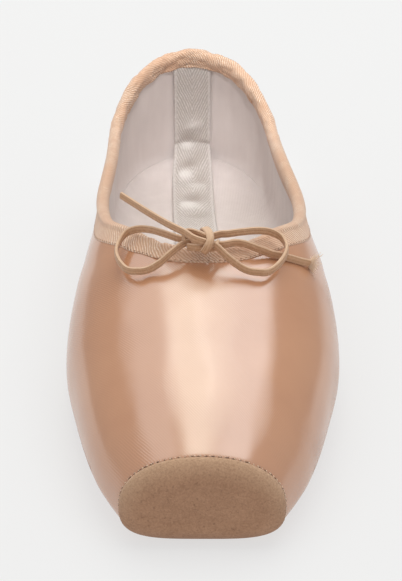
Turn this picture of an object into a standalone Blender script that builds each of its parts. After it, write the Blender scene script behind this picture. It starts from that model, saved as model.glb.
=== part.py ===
"""A pointe shoe standing on its sole, toe towards -Y and heel towards +Y. Units are metres."""
import math

import bmesh
import bpy
from mathutils import Vector
from mathutils.bvhtree import BVHTree

MM = 0.001

# The last, measured over the satin
LENGTH = 236 * MM             # flat of the toe to the back of the heel
BALL_WIDTH = 84 * MM
HEEL_WIDTH = 61 * MM
HEEL_DEPTH = 42 * MM          # back of the heel to the centre of its oval plan
PLATFORM_WIDTH = 42 * MM
PLATFORM_HEIGHT = 25.3 * MM
INSTEP_HEIGHT = 50 * MM       # at the throat
SIDE_HEIGHT = 42 * MM         # the collar beside the arch
HEEL_HEIGHT = 57.5 * MM       # the collar at the back seam
VAMP_LENGTH = 81.6 * MM       # flat of the toe to the throat's edge
HEEL_SWAY = 4.4 * MM          # the heel stands this far to one side
PLATFORM_LEAN = 1.5 * MM      # the top of the platform lies this far back
RIM_RADIUS = 4.5 * MM         # the edge round the platform
ARCH_RISE = 4 * MM
TOE_RAMP = (0.02, 0.11)       # where the last rises onto the sole, as shares of its length
ARCH_FRONT = (0.40, 0.58)
ARCH_BACK = (0.84, 0.68)
SWAY_START = 0.39             # behind this share of the length the heel stands aside
LEAN_REACH = 0.30             # and before this one the toe leans

# The upper's wall
BOX_WALL = 2.6 * MM           # pasted layers round the toes
QUARTER_WALL = 1.6 * MM       # satin and lining from the instep back
BOX_LENGTH = 62 * MM          # where the stiff box ends
BOX_FADE = 0.6                # its wall is full up to this share of that, and thins as far behind

# Sole and insole
SOLE_THICK = 3 * MM
SOLE_FRONT = 15 * MM          # from the flat of the toe
SOLE_BACK = 9 * MM            # from the back of the heel
SOLE_MARGIN = 7 * MM          # the upper's turned edge under the sole
SOLE_EDGE_LIFT = 0.5 * MM     # the worn-in rounding of the sole's lower edge
INSOLE_THICK = 1.6 * MM
INSOLE_SHARE = 0.76           # of the last's half width
INSOLE_INSET = 8 * MM         # from the toe box's inner face
INSOLE_LIFT = 0.9 * MM        # glue and turned edge under the insole
TOE_CLEAR = 2.0 * MM          # the satin under the toe, over the floor
FIT_GAP = 0.3 * MM

# Trim
TIP_THICK = 0.8 * MM          # suede over the platform
TIP_WRAP = 3.2 * MM           # how far the suede runs back from the flat
TAPE_THICK = 0.8 * MM         # twill binding round the collar
TAPE_GAP = 0.6 * MM
TAPE_OUTER_LEG = 4.2 * MM
TAPE_INNER_LEG = 4.0 * MM
TAPE_ROLL = 2.1 * MM          # the drawstring's channel stands this far above the edge
BACK_TAPE_WIDTH = 15.5 * MM
BACK_TAPE_THICK = 0.8 * MM
BACK_TAPE_REACH = 84 * MM     # how far it runs forward over the insole
BACK_TAPE_BEND = 14 * MM      # height over the sole where it leaves the heel's wall
BACK_TAPE_LANDING = 5 * MM    # in front of the insole's end, where it comes down
CORD_DIAMETER = 1.8 * MM
KNOT_WIDTH = 10.6 * MM
KNOT_DEPTH = 7.6 * MM
KNOT_HEIGHT = 5.0 * MM

# How finely the forms are faceted
SECTION_POINTS = 13
PLATFORM_SHARES = (0.30, 0.65, 1.0)
RIM_STEPS = 3
TOE_STEPS = 3
VAMP_STEPS = 8
THROAT_STEPS = 6
THROAT_REACH = 0.24           # of the way from the throat to the heel's fan
QUARTER_STEPS = 9
FAN_STEPS = 9
COLLAR_POINTS = 76
PLATE_STEPS = 26
PLATE_CUTS = (0.0, 0.35, 0.7, 1.0)
PLATE_END = 0.15 * MM
BACK_TAPE_SHARES = (-0.5, -0.25, 0.0, 0.25, 0.5)
WALL_ROWS = 6
FLOOR_ROWS = 9
WELD = 0.02 * MM

# Sections of the last: place along it, half width, height of the closed crown,
# height of its widest line, and how square it is above and below that line
SECTION_COLUMNS = ("at", "half", "crown", "belly", "over", "under")
SECTIONS = (
    (0.000, 0.500 * PLATFORM_WIDTH, 1.00 * PLATFORM_HEIGHT, 0.44 * PLATFORM_HEIGHT, 2.2, 3.6),
    (0.080, 0.363 * BALL_WIDTH, 0.665 * INSTEP_HEIGHT, 0.257 * INSTEP_HEIGHT, 2.2, 3.8),
    (0.190, 0.448 * BALL_WIDTH, 0.794 * INSTEP_HEIGHT, 0.276 * INSTEP_HEIGHT, 2.2, 3.0),
    (0.300, 0.500 * BALL_WIDTH, 0.927 * INSTEP_HEIGHT, 0.295 * INSTEP_HEIGHT, 2.2, 3.0),
    (0.420, 0.494 * BALL_WIDTH, 1.074 * INSTEP_HEIGHT, 0.314 * INSTEP_HEIGHT, 2.3, 2.8),
    (0.560, 0.598 * HEEL_WIDTH, 1.264 * INSTEP_HEIGHT, 0.342 * INSTEP_HEIGHT, 2.5, 2.6),
    (0.700, 0.514 * HEEL_WIDTH, 1.530 * HEEL_HEIGHT, 0.342 * HEEL_HEIGHT, 2.7, 2.6),
    (1 - HEEL_DEPTH / LENGTH, 0.500 * HEEL_WIDTH, 1.60 * HEEL_HEIGHT, 0.342 * HEEL_HEIGHT, 2.1, 2.8),
)

# The collar from the throat (0), where it lies on the crown, to the back seam (1)
COLLAR = (
    # at, height
    (0.00, 1.000 * INSTEP_HEIGHT),
    (0.05, 1.162 * SIDE_HEIGHT),
    (0.10, 1.149 * SIDE_HEIGHT),
    (0.20, 1.055 * SIDE_HEIGHT),
    (0.36, 0.970 * SIDE_HEIGHT),
    (0.56, 0.985 * SIDE_HEIGHT),
    (0.76, 0.960 * SIDE_HEIGHT),
    (0.92, 0.910 * HEEL_HEIGHT),
    (1.00, 1.000 * HEEL_HEIGHT),
)

# The sole's plan, as half widths
SOLE_PLAN = (
    # at, half
    (0.06, 0.225 * BALL_WIDTH),
    (0.16, 0.275 * BALL_WIDTH),
    (0.30, 0.330 * BALL_WIDTH),
    (0.45, 0.265 * BALL_WIDTH),
    (0.60, 0.285 * HEEL_WIDTH),
    (0.74, 0.315 * HEEL_WIDTH),
    (0.86, 0.350 * HEEL_WIDTH),
    (0.98, 0.345 * HEEL_WIDTH),
)
SOLE_FRONT_ROUND = 0.30 * BALL_WIDTH
SOLE_BACK_ROUND = 0.40 * HEEL_WIDTH
SOLE_SKIVE = 0.30 * SOLE_THICK    # the front is pared this much thinner
INSOLE_FRONT_ROUND = 0.25 * BALL_WIDTH

# The binding's middle line: which face of the wall it lies on, its share of the way
# from the wall's middle to its seat there, and how far down it lies from the edge
BINDING = (
    # face, across, down
    ("outer", 1.00, 1.00 * TAPE_OUTER_LEG),
    ("outer", 1.00, 0.50 * TAPE_OUTER_LEG),
    ("outer", 1.12, 0.10 * TAPE_OUTER_LEG),
    ("outer", 1.00, -0.45 * TAPE_ROLL),
    ("outer", 0.45, -1.00 * TAPE_ROLL),
    ("inner", 0.45, -1.00 * TAPE_ROLL),
    ("inner", 1.00, -0.45 * TAPE_ROLL),
    ("inner", 1.12, 0.14 * TAPE_INNER_LEG),
    ("inner", 1.00, 1.00 * TAPE_INNER_LEG),
)

# The bow's routes, from the throat's middle: across, back and up, in millimetres
KNOT_AT = (0, -1.5, 4.2)
BOW = {
    "bow_loop_left": (
        (-5.8, -2.2, 3.6), (-9.5, -5, 2), (-13, -7, -0.5), (-16.5, -7.5, -2.5), (-20, -7.5, -3),
        (-23, -5.5, -3.5), (-25.5, -1, -3), (-26.5, 3.5, -2), (-25.5, 8, -0.5), (-23.5, 10.5, 1),
        (-20, 10, 2.5), (-16, 7.5, 3.5), (-12, 4, 4), (-8, 1, 4), (-5.8, 0, 4)),
    "bow_loop_right": (
        (4.4, -6.2, 4.4), (8, -8, 1.5), (12.5, -9, -1.5), (16.5, -9, -2.5), (20, -7.5, -3),
        (23.5, -2.5, -2.5), (25.5, 2.5, -1), (24.5, 7, 0.5), (21.5, 8.5, 2), (17, 7, 3.5),
        (11.5, 4, 4.5), (7.5, 1.8, 5), (5, 1, 5.2)),
    "bow_end_left": (
        (-2.5, -5.2, 6.8), (-5, -3, 7.5), (-9.5, 1, 8), (-14, 6.5, 8), (-19.5, 13, 8.5),
        (-25.5, 19.5, 9.5)),
    "bow_end_right": (
        (6.1, -1.8, 3.1), (9.5, 0.5, 2.6), (12.5, 1, 2), (17, 1, 0.2), (20.5, 2, -1.8),
        (23.5, 3, -3), (27, 4.5, -4.8), (30, 6, -6.5), (33, 7.5, -8)),
}


def smooth(share):
    share = min(max(share, 0.0), 1.0)
    return share * share * (3 - 2 * share)


def ramp(at, span):
    """From 0 at the span's first place to 1 at its second, on a smooth curve."""
    return smooth((at - span[0]) / (span[1] - span[0]))


def read(rows, at, column):
    """A column of a table at a place between its rows, on a smooth curve."""
    k = 0
    while k < len(rows) - 2 and rows[k + 1][0] < at:
        k += 1
    low, high = rows[k], rows[k + 1]
    before, after = rows[max(k - 1, 0)], rows[min(k + 2, len(rows) - 1)]
    span = high[0] - low[0]
    t = min(max((at - low[0]) / span, 0.0), 1.0)
    leave = (high[column] - before[column]) / (high[0] - before[0]) * span
    arrive = (after[column] - low[column]) / (after[0] - low[0]) * span
    return ((2 * t**3 - 3 * t**2 + 1) * low[column] + (t**3 - 2 * t**2 + t) * leave
            + (3 * t**2 - 2 * t**3) * high[column] + (t**3 - t**2) * arrive)


def seat_height(along):
    """Height of the last's bottom over the floor: on the sole, raised at the arch."""
    at = along / LENGTH
    lift = TOE_CLEAR + (SOLE_THICK + FIT_GAP - TOE_CLEAR) * ramp(at, TOE_RAMP)
    return lift + ARCH_RISE * ramp(at, ARCH_FRONT) * ramp(at, ARCH_BACK)


def wall_at(along):
    behind = along / BOX_LENGTH - BOX_FADE
    return BOX_WALL + (QUARTER_WALL - BOX_WALL) * smooth(behind)


def station(along):
    """A cross-section of the last at a distance from the flat of the toe."""
    section = {name: read(SECTIONS, along / LENGTH, k + 1)
               for k, name in enumerate(SECTION_COLUMNS[1:])}
    return section | {"low": seat_height(along), "centre": along, "ray": (1.0, 0.0)}


def toe_station(share, inset, along):
    """A section at the toe, drawn in by an inset and scaled about its middle."""
    section = station(along)
    middle = 0.5 * (section["crown"] + section["low"])
    section["half"] = (section["half"] - inset) * share
    section["crown"] = middle + (section["crown"] - inset - middle) * share
    section["low"] = middle - (middle - section["low"] - inset) * share
    section["belly"] = middle + (section["belly"] - middle) * share
    return section


def heel_station(turn):
    """A section on the fan round the heel: turn 0 at the side, a quarter turn at the back."""
    section = station(LENGTH - HEEL_DEPTH)
    section["ray"] = (math.cos(turn), math.sin(turn) * HEEL_DEPTH / section["half"])
    return section


def section_point(section, angle):
    """A point of a half section: -90 degrees at the bottom middle, 90 at the crown."""
    cosine, sine = max(math.cos(angle), 0.0), math.sin(angle)
    if sine >= 0:
        reach = section["half"] * cosine ** (2 / section["over"])
        z = section["belly"] + (section["crown"] - section["belly"]) * sine ** (2 / section["over"])
    else:
        reach = section["half"] * cosine ** (2 / section["under"])
        z = section["belly"] - (section["belly"] - section["low"]) * (-sine) ** (2 / section["under"])
    return reach * section["ray"][0], section["centre"] + reach * section["ray"][1], z


def place(side, point):
    """From the straight last to the shoe: mirrored, swayed at the heel, leaning at the toe."""
    across, along, z = point
    sway = HEEL_SWAY * ramp(along / LENGTH, (SWAY_START, 1.0))
    lean = PLATFORM_LEAN * z / PLATFORM_HEIGHT * max(0.0, 1 - along / (LEAN_REACH * LENGTH))
    front = FIT_GAP + TIP_THICK
    return Vector((side * across - sway, along + lean - 0.5 * (LENGTH - front), z))


def collar_height(along):
    """Height of the upper's edge, which leaves the closed crown at the throat."""
    crown = read(SECTIONS, VAMP_LENGTH / LENGTH, 2)
    at = (along - VAMP_LENGTH) / (LENGTH - VAMP_LENGTH)
    return read(COLLAR, at, 1) + (crown - INSTEP_HEIGHT) * smooth(1 - at / COLLAR[1][0])


def collar_angle(section, turn=0.0):
    """Where a half section ends: at the crown before the throat, else at the collar."""
    along = section["centre"]
    if along <= VAMP_LENGTH:
        return 0.5 * math.pi
    height = collar_height(along + HEEL_DEPTH * math.sin(turn))
    share = (height - section["belly"]) / (section["crown"] - section["belly"])
    return math.asin(min(share, 1.0) ** (0.5 * section["over"]))


def rounded_end(distance, radius):
    return math.sqrt(1 - (1 - min(max(distance / radius, 0.0), 1.0)) ** 2)


def sole_half(along, inset=0.0):
    """The sole's half width, with an optional inset all round."""
    front = rounded_end(along - SOLE_FRONT - inset, SOLE_FRONT_ROUND)
    back = rounded_end(LENGTH - SOLE_BACK - inset - along, SOLE_BACK_ROUND)
    return (read(SOLE_PLAN, along / LENGTH, 1) - inset) * front * back


def opening_angle(section):
    """Where a half section starts: at the bottom middle, or at the edge under the sole."""
    along = section["centre"]
    if along <= SOLE_FRONT + SOLE_MARGIN:
        return -0.5 * math.pi
    share = sole_half(along, SOLE_MARGIN) / section["half"]
    return -math.acos(share ** (0.5 * section["under"]))


def even_points(line, count):
    """Points at even steps of length along a line, with its two ends."""
    travelled = [0.0]
    for a, b in zip(line, line[1:]):
        travelled.append(travelled[-1] + (b - a).length)
    points, k = [], 0
    for step in range(count):
        goal = travelled[-1] * step / (count - 1)
        while k < len(line) - 2 and travelled[k + 1] < goal:
            k += 1
        gap = max(travelled[k + 1] - travelled[k], 1e-9)
        points.append(line[k].lerp(line[k + 1], min((goal - travelled[k]) / gap, 1.0)))
    return points


def spread(section, start, end, count):
    """Points at even steps of length along a half section."""
    fine = 5 * count
    line = [Vector(section_point(section, start + (end - start) * k / fine))
            for k in range(fine + 1)]
    return even_points(line, count)


def toe_rows(reach):
    """Sections over the platform, from near its middle out and back round its rim."""
    rows = [toe_station(share, RIM_RADIUS, 0.0) for share in PLATFORM_SHARES]
    furthest = math.acos(max(1 - reach / RIM_RADIUS, 0.0))
    for step in range(1, RIM_STEPS + 1):
        turn = furthest * step / RIM_STEPS
        inset = RIM_RADIUS * (1 - math.sin(turn))
        rows.append(toe_station(1.0, inset, RIM_RADIUS * (1 - math.cos(turn))))
    return rows


def body_places():
    """Distances from the toe, close together where the throat and the opening start."""
    opening = SOLE_FRONT + SOLE_MARGIN
    quarter = LENGTH - HEEL_DEPTH
    start = VAMP_LENGTH + THROAT_REACH * (quarter - VAMP_LENGTH)
    stretches = (
        # from, to, steps, how much closer the steps are at its start
        (RIM_RADIUS, opening, TOE_STEPS, 1.0),
        (opening, VAMP_LENGTH, VAMP_STEPS, 1.35),
        (VAMP_LENGTH, start, THROAT_STEPS, 2.0),
        (start, quarter, QUARTER_STEPS, 1.0),
    )
    return [low + (high - low) * (k / steps) ** power
            for low, high, steps, power in stretches for k in range(1, steps + 1)]


def upper_sections():
    """Every half section of the upper with the angles where it starts and ends."""
    sections = [(s, -0.5 * math.pi, 0.5 * math.pi) for s in toe_rows(RIM_RADIUS)]
    for along in body_places():
        section = station(along)
        sections.append((section, opening_angle(section), collar_angle(section)))
    for k in range(1, FAN_STEPS + 1):
        turn = 0.5 * math.pi * k / FAN_STEPS
        section = heel_station(turn)
        sections.append((section, opening_angle(section), collar_angle(section, turn)))
    return sections


def loft(name, rows):
    """A mesh through rows of points."""
    shape = bmesh.new()
    grid = [[shape.verts.new(point) for point in row] for row in rows]
    for row, following in zip(grid, grid[1:]):
        for k in range(len(row) - 1):
            shape.faces.new((row[k], row[k + 1], following[k + 1], following[k]))
    mesh = bpy.data.meshes.new(name)
    shape.to_mesh(mesh)
    shape.free()
    return mesh


def weld(mesh):
    """Joins the points that neighbouring rows share and turns the faces outwards."""
    shape = bmesh.new()
    shape.from_mesh(mesh)
    bmesh.ops.remove_doubles(shape, verts=shape.verts, dist=WELD)
    bmesh.ops.dissolve_degenerate(shape, edges=shape.edges, dist=0.5 * WELD)
    bmesh.ops.recalc_face_normals(shape, faces=shape.faces)
    shape.to_mesh(mesh)
    shape.free()
    return mesh


def skin(name, sections, count):
    """The last's surface through some sections, left and right halves welded."""
    lines = [spread(section, start, end, count) for section, start, end in sections]
    lefts = [[place(-1, point) for point in line] for line in lines]
    rights = [[place(1, point) for point in line] for line in lines]
    shape = bmesh.new()
    for rows, flip in ((lefts, False), (rights, True)):
        grid = [[shape.verts.new(point) for point in row] for row in rows]
        for row, following in zip(grid, grid[1:]):
            for k in range(count - 1):
                corners = [row[k], row[k + 1], following[k + 1], following[k]]
                shape.faces.new(reversed(corners) if flip else corners)
    ring = lefts[0] + rights[0][-2:0:-1]
    shape.faces.new([shape.verts.new(point) for point in ring])
    bmesh.ops.remove_doubles(shape, verts=shape.verts, dist=WELD)
    bmesh.ops.dissolve_degenerate(shape, edges=shape.edges, dist=0.5 * WELD)
    bmesh.ops.recalc_face_normals(shape, faces=shape.faces)
    centre = place(0, (0.0, 0.5 * LENGTH, 0.5 * INSTEP_HEIGHT))
    outward = sum((face.calc_center_median() - centre).dot(face.normal) * face.calc_area()
                  for face in shape.faces)
    if outward < 0:
        bmesh.ops.reverse_faces(shape, faces=shape.faces)
    mesh = bpy.data.meshes.new(name)
    shape.to_mesh(mesh)
    shape.free()
    return mesh


def finish(name, mesh, material, parts, angle=40):
    """An object for one sub-part, shaded smooth, with its own material."""
    mesh.shade_smooth()
    mesh.set_sharp_from_angle(angle=math.radians(angle))
    mesh.materials.append(material)
    piece = bpy.data.objects.new(name, mesh)
    parts.objects.link(piece)
    return piece


def material(name, colour, roughness, sheen=0.0):
    made = bpy.data.materials.new(name)
    made.use_nodes = True
    shader = made.node_tree.nodes["Principled BSDF"]
    shader.inputs["Base Color"].default_value = (*colour, 1.0)
    shader.inputs["Roughness"].default_value = roughness
    shader.inputs["Sheen Weight"].default_value = sheen
    made.diffuse_color = (*colour, 1.0)
    return made


def upper(parts):
    """Satin and lining as one hollow wall, open at the collar and under the foot."""
    mesh = skin("upper", upper_sections(), SECTION_POINTS)
    piece = finish("upper", mesh, material("peach_satin", (0.72, 0.46, 0.32), 0.35, 0.3), parts)
    walls = piece.vertex_groups.new(name="wall")
    for vert in mesh.vertices:
        along = vert.co.y - place(0, (0, 0, 0)).y
        walls.add([vert.index], wall_at(along) / BOX_WALL, "REPLACE")
    shell = piece.modifiers.new("Wall", "SOLIDIFY")
    shell.thickness = BOX_WALL
    shell.offset = -1
    shell.vertex_group = "wall"
    shell.use_even_offset = True
    shell.use_quality_normals = True
    return piece


def suede_tip(parts):
    """The suede over the platform, wrapped over its rim, from the upper's own sections."""
    rows = toe_rows(TIP_WRAP)
    if TIP_WRAP > RIM_RADIUS:
        rows.append(station(TIP_WRAP))
    sections = [(section, -0.5 * math.pi, 0.5 * math.pi) for section in rows]
    shape = skin("suede_tip", sections, SECTION_POINTS)
    moved = [v.co + v.normal * FIT_GAP for v in shape.vertices]
    for vert, point in zip(shape.vertices, moved):
        vert.co = point
    piece = finish("suede_tip", shape, material("tan_suede", (0.33, 0.19, 0.12), 0.95, 0.2), parts)
    shell = piece.modifiers.new("Thickness", "SOLIDIFY")
    shell.thickness = TIP_THICK
    shell.offset = 1
    shell.use_quality_normals = True
    return piece


def under_height(along, across, rise=0.0):
    """Height of the last's underside at a place, or of a surface a little above it."""
    section = station(min(along, LENGTH - HEEL_DEPTH))
    beyond = max(along - section["centre"], 0.0) * section["half"] / HEEL_DEPTH
    share = min(math.hypot(across, beyond) / (section["half"] - rise), 0.999)
    sine = (1 - share ** section["under"]) ** (1 / section["under"])
    return section["belly"] - (section["belly"] - section["low"] - rise) * sine


def plate(name, half, start, end, bottom, top):
    """A plate lofted along the foot from its half width and its two surfaces."""
    marks = [-cut for cut in reversed(PLATE_CUTS[1:])] + list(PLATE_CUTS)
    crowding = 0.35
    rings = []
    for k in range(PLATE_STEPS + 1):
        even = k / PLATE_STEPS
        share = crowding * 0.5 * (1 - math.cos(math.pi * even)) + (1 - crowding) * even
        along = start + (end - start) * share
        along = min(max(along, start + PLATE_END), end - PLATE_END)
        width = half(along)
        upper_line = [(width * m, along, top(along, width * m, abs(m))) for m in marks]
        lower_line = [(width * m, along, bottom(along, width * m, abs(m))) for m in marks]
        rings.append([place(1, p) for p in upper_line + lower_line[::-1]])
    shape = bmesh.new()
    grid = [[shape.verts.new(point) for point in ring] for ring in rings]
    size = len(grid[0])
    for ring, following in zip(grid, grid[1:]):
        for k in range(size):
            n = (k + 1) % size
            shape.faces.new((ring[k], ring[n], following[n], following[k]))
    rows = size // 2
    for ring in (grid[0], grid[-1]):
        for k in range(rows - 1):
            shape.faces.new((ring[k], ring[k + 1], ring[size - 2 - k], ring[size - 1 - k]))
    mesh = bpy.data.meshes.new(name)
    shape.to_mesh(mesh)
    shape.free()
    return weld(mesh)


def outsole(parts):
    """Leather sole: flat under the ball and the heel, raised at the arch, thin in front."""
    def top(along, across, mark):
        return under_height(along, across) - 1.5 * FIT_GAP

    def bottom(along, across, mark):
        flat = max(seat_height(along) - FIT_GAP - SOLE_THICK, 0.0)
        pared = SOLE_SKIVE * smooth(1 - (along - SOLE_FRONT) / (0.5 * SOLE_FRONT_ROUND))
        edge = SOLE_EDGE_LIFT if mark == 1 else 0.0
        return flat + pared + edge

    mesh = plate("outsole", sole_half, SOLE_FRONT, LENGTH - SOLE_BACK, bottom, top)
    return finish("outsole", mesh, material("sole_leather", (0.42, 0.30, 0.21), 0.7), parts)


def insole_top(along, across):
    return under_height(along, across, wall_at(along)) + INSOLE_LIFT + INSOLE_THICK


def insole(parts):
    """The board inside, laid on the upper's turned edge."""
    start = BOX_WALL + INSOLE_INSET
    end = LENGTH - (1 - INSOLE_SHARE) * HEEL_DEPTH

    def half(along):
        section = station(min(along, LENGTH - HEEL_DEPTH))
        front = rounded_end(along - start, INSOLE_FRONT_ROUND)
        beyond = max(along - section["centre"], 0.0) / (INSOLE_SHARE * HEEL_DEPTH)
        return INSOLE_SHARE * section["half"] * front * math.sqrt(max(1 - beyond ** 2, 0.0))

    def bottom(along, across, mark):
        return insole_top(along, across) - INSOLE_THICK

    def top(along, across, mark):
        return insole_top(along, across)

    mesh = plate("insole", half, start, end, bottom, top)
    return finish("insole", mesh, material("insole_cotton", (0.62, 0.54, 0.47), 0.9), parts)


def collar_line():
    """The upper's top edge as one closed line, at even steps."""
    sections = [entry for entry in upper_sections() if entry[0]["centre"] >= VAMP_LENGTH - MM]
    ends = [section_point(section, end) for section, start, end in sections]
    right = [place(1, point) for point in ends]
    left = [place(-1, point) for point in ends]
    return even_points(right + left[-2:0:-1] + right[:1], COLLAR_POINTS + 1)[:-1]


def guide_surface():
    """The upper's outer face on its own, to lay the tapes along."""
    mesh = skin("guide", upper_sections(), SECTION_POINTS)
    tree = BVHTree.FromPolygons([v.co.copy() for v in mesh.vertices],
                                [tuple(p.vertices) for p in mesh.polygons])
    bpy.data.meshes.remove(mesh)
    return tree


def binding(parts):
    """Twill tape folded over the collar, with the drawstring's channel as a soft roll."""
    surface = guide_surface()
    line = collar_line()
    count = len(line)
    toe_end = place(0, (0, 0, 0)).y
    rows = []
    for k, point in enumerate(line):
        tangent = (line[(k + 1) % count] - line[k - 1]).normalized()
        normal = surface.find_nearest(point)[1]
        normal = (normal - tangent * normal.dot(tangent)).normalized()
        down = tangent.cross(normal).normalized()
        middle = -0.5 * wall_at(point.y - toe_end)
        seat = TAPE_GAP + 0.5 * TAPE_THICK - middle
        row = []
        for face, across, drop in BINDING:
            offset = middle + seat * across * (1 if face == "outer" else -1)
            if drop > 0:
                foot, face_normal, *_ = surface.find_nearest(point + down * drop)
                row.append(foot + face_normal * offset)
            else:
                row.append(point + down * drop + normal * offset)
        rows.append(row)
    rows.append(rows[0])
    mesh = weld(loft("binding", rows))
    piece = finish("binding", mesh, material("peach_twill", (0.80, 0.54, 0.38), 0.8), parts)
    shell = piece.modifiers.new("Tape", "SOLIDIFY")
    shell.thickness = TAPE_THICK
    shell.offset = 0
    shell.use_quality_normals = True
    return piece


def back_tape(parts):
    """Tape over the back seam, down the heel's lining and forward over the insole."""
    surface = guide_surface()
    wall = QUARTER_WALL + FIT_GAP + 0.5 * BACK_TAPE_THICK
    back = heel_station(0.5 * math.pi)
    bend = seat_height(back["centre"]) + BACK_TAPE_BEND
    rows = []
    for k in range(WALL_ROWS + 1):
        row = []
        for across in BACK_TAPE_SHARES:
            lean = math.asin(abs(across) * BACK_TAPE_WIDTH / (0.7 * back["half"]))
            edge = collar_height(back["centre"] + HEEL_DEPTH * math.cos(lean))
            top = edge - TAPE_INNER_LEG - TAPE_THICK - FIT_GAP
            height = top + (bend - top) * k / WALL_ROWS
            share = (height - back["belly"]) / (back["crown"] - back["belly"])
            angle = math.copysign(math.asin(abs(share) ** (0.5 * back["over"])), share)
            half = back["half"] * math.cos(angle) ** (2 / back["over"])
            turn = 0.5 * math.pi - math.asin(abs(across) * BACK_TAPE_WIDTH / half)
            point = section_point(heel_station(turn), angle)
            foot, normal, *_ = surface.find_nearest(place(-1 if across < 0 else 1, point))
            row.append(foot - normal * wall)
        rows.append(row)
    start = LENGTH - (1 - INSOLE_SHARE) * HEEL_DEPTH - BACK_TAPE_LANDING
    for k in range(FLOOR_ROWS + 1):
        along = start - (BACK_TAPE_REACH - BACK_TAPE_LANDING) * k / FLOOR_ROWS
        row = []
        for across in BACK_TAPE_SHARES:
            x = across * BACK_TAPE_WIDTH
            height = insole_top(along, x) + FIT_GAP + 0.5 * BACK_TAPE_THICK
            row.append(place(1, (x, along, height)))
        rows.append(row)
    piece = finish("back_tape", weld(loft("back_tape", rows)),
                   material("white_herringbone", (0.72, 0.69, 0.66), 0.9), parts)
    shell = piece.modifiers.new("Tape", "SOLIDIFY")
    shell.thickness = BACK_TAPE_THICK
    shell.offset = 0
    shell.use_quality_normals = True
    return piece


def throat_point(offset):
    return place(0, (0.0, VAMP_LENGTH, INSTEP_HEIGHT)) + Vector(offset) * MM


def smooth_route(points, between=2):
    """More points along a route, on a curve that passes through each of its own."""
    route = []
    for k in range(len(points) - 1):
        a, b = points[k], points[k + 1]
        before, after = points[max(k - 1, 0)], points[min(k + 2, len(points) - 1)]
        for step in range(between):
            t = step / between
            route.append(0.5 * (2 * a + (b - before) * t + (2 * before - 5 * a + 4 * b - after) * t**2
                                + (3 * a - before - 3 * b + after) * t**3))
    return route + [points[-1]]


def cord(name, route, finish_material, parts):
    """A stretch of the drawstring as a tube with closed ends."""
    curve = bpy.data.curves.new(name, "CURVE")
    curve.dimensions = "3D"
    curve.bevel_depth = 0.5 * CORD_DIAMETER
    curve.bevel_resolution = 2
    curve.use_fill_caps = True
    points = smooth_route([throat_point(offset) for offset in route])
    spline = curve.splines.new("POLY")
    spline.points.add(len(points) - 1)
    for target, point in zip(spline.points, points):
        target.co = (*point, 1.0)
    curve.materials.append(finish_material)
    piece = bpy.data.objects.new(name, curve)
    parts.objects.link(piece)
    return piece


def bow(parts):
    """The drawstring's knot, two loops and two ends over the throat."""
    elastic = material("beige_elastic", (0.56, 0.37, 0.24), 0.7)
    shape = bmesh.new()
    bmesh.ops.create_uvsphere(shape, u_segments=16, v_segments=8, radius=0.5)
    bmesh.ops.scale(shape, vec=(KNOT_WIDTH, KNOT_DEPTH, KNOT_HEIGHT), verts=shape.verts)
    bmesh.ops.translate(shape, vec=throat_point(KNOT_AT), verts=shape.verts)
    mesh = bpy.data.meshes.new("bow_knot")
    shape.to_mesh(mesh)
    shape.free()
    finish("bow_knot", mesh, elastic, parts)
    for name, route in BOW.items():
        cord(name, route, elastic, parts)


def start_scene():
    for item in list(bpy.data.objects):
        bpy.data.objects.remove(item)
    parts = bpy.data.collections.new("Pointe shoe")
    bpy.context.scene.collection.children.link(parts)
    return parts


def main():
    parts = start_scene()
    upper(parts)
    suede_tip(parts)
    outsole(parts)
    insole(parts)
    binding(parts)
    back_tape(parts)
    bow(parts)


main()
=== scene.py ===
import math
import random

import bmesh
import bpy
import numpy as np
from mathutils import Matrix, Vector, noise
from mathutils.bvhtree import BVHTree


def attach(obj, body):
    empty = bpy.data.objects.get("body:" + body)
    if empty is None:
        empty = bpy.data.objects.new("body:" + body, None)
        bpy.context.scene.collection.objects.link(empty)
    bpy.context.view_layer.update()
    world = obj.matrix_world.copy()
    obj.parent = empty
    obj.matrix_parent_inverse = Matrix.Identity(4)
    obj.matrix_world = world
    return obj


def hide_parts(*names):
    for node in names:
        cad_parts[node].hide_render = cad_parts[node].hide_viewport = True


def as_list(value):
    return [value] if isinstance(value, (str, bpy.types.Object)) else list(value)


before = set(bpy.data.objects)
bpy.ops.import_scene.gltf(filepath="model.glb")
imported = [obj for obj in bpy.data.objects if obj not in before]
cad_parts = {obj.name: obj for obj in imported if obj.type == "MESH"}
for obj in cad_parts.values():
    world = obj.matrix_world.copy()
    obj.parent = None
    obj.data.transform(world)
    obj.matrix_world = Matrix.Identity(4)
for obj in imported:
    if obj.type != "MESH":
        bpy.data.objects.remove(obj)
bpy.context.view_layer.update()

mm = 0.001
quarterTurn = 0.5 * math.pi
print("frame loaded:", sorted(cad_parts))


# the last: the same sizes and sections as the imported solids, read here much finer

last = {
    "length": 236 * mm,
    "ballWidth": 84 * mm,
    "heelWidth": 61 * mm,
    "heelDepth": 42 * mm,
    "platformWidth": 42 * mm,
    "platformHeight": 25.3 * mm,
    "instepHeight": 50 * mm,
    "sideHeight": 42 * mm,
    "heelHeight": 57.5 * mm,
    "vampLength": 81.6 * mm,
    "heelSway": 4.4 * mm,
    "platformLean": 1.5 * mm,
    "rimRadius": 4.5 * mm,
    "archRise": 4 * mm,
    "boxWall": 2.6 * mm,
    "quarterWall": 1.6 * mm,
    "boxLength": 62 * mm,
    "toeClear": 2.0 * mm,
    "soleThick": 3 * mm,
    "fitGap": 0.3 * mm,
    "tipThick": 0.8 * mm,
}
lastLength, ball, heel = last["length"], last["ballWidth"], last["heelWidth"]
instep, heelHigh = last["instepHeight"], last["heelHeight"]
platformHigh, sideHigh = last["platformHeight"], last["sideHeight"]
quarterEnd = lastLength - last["heelDepth"]

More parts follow.
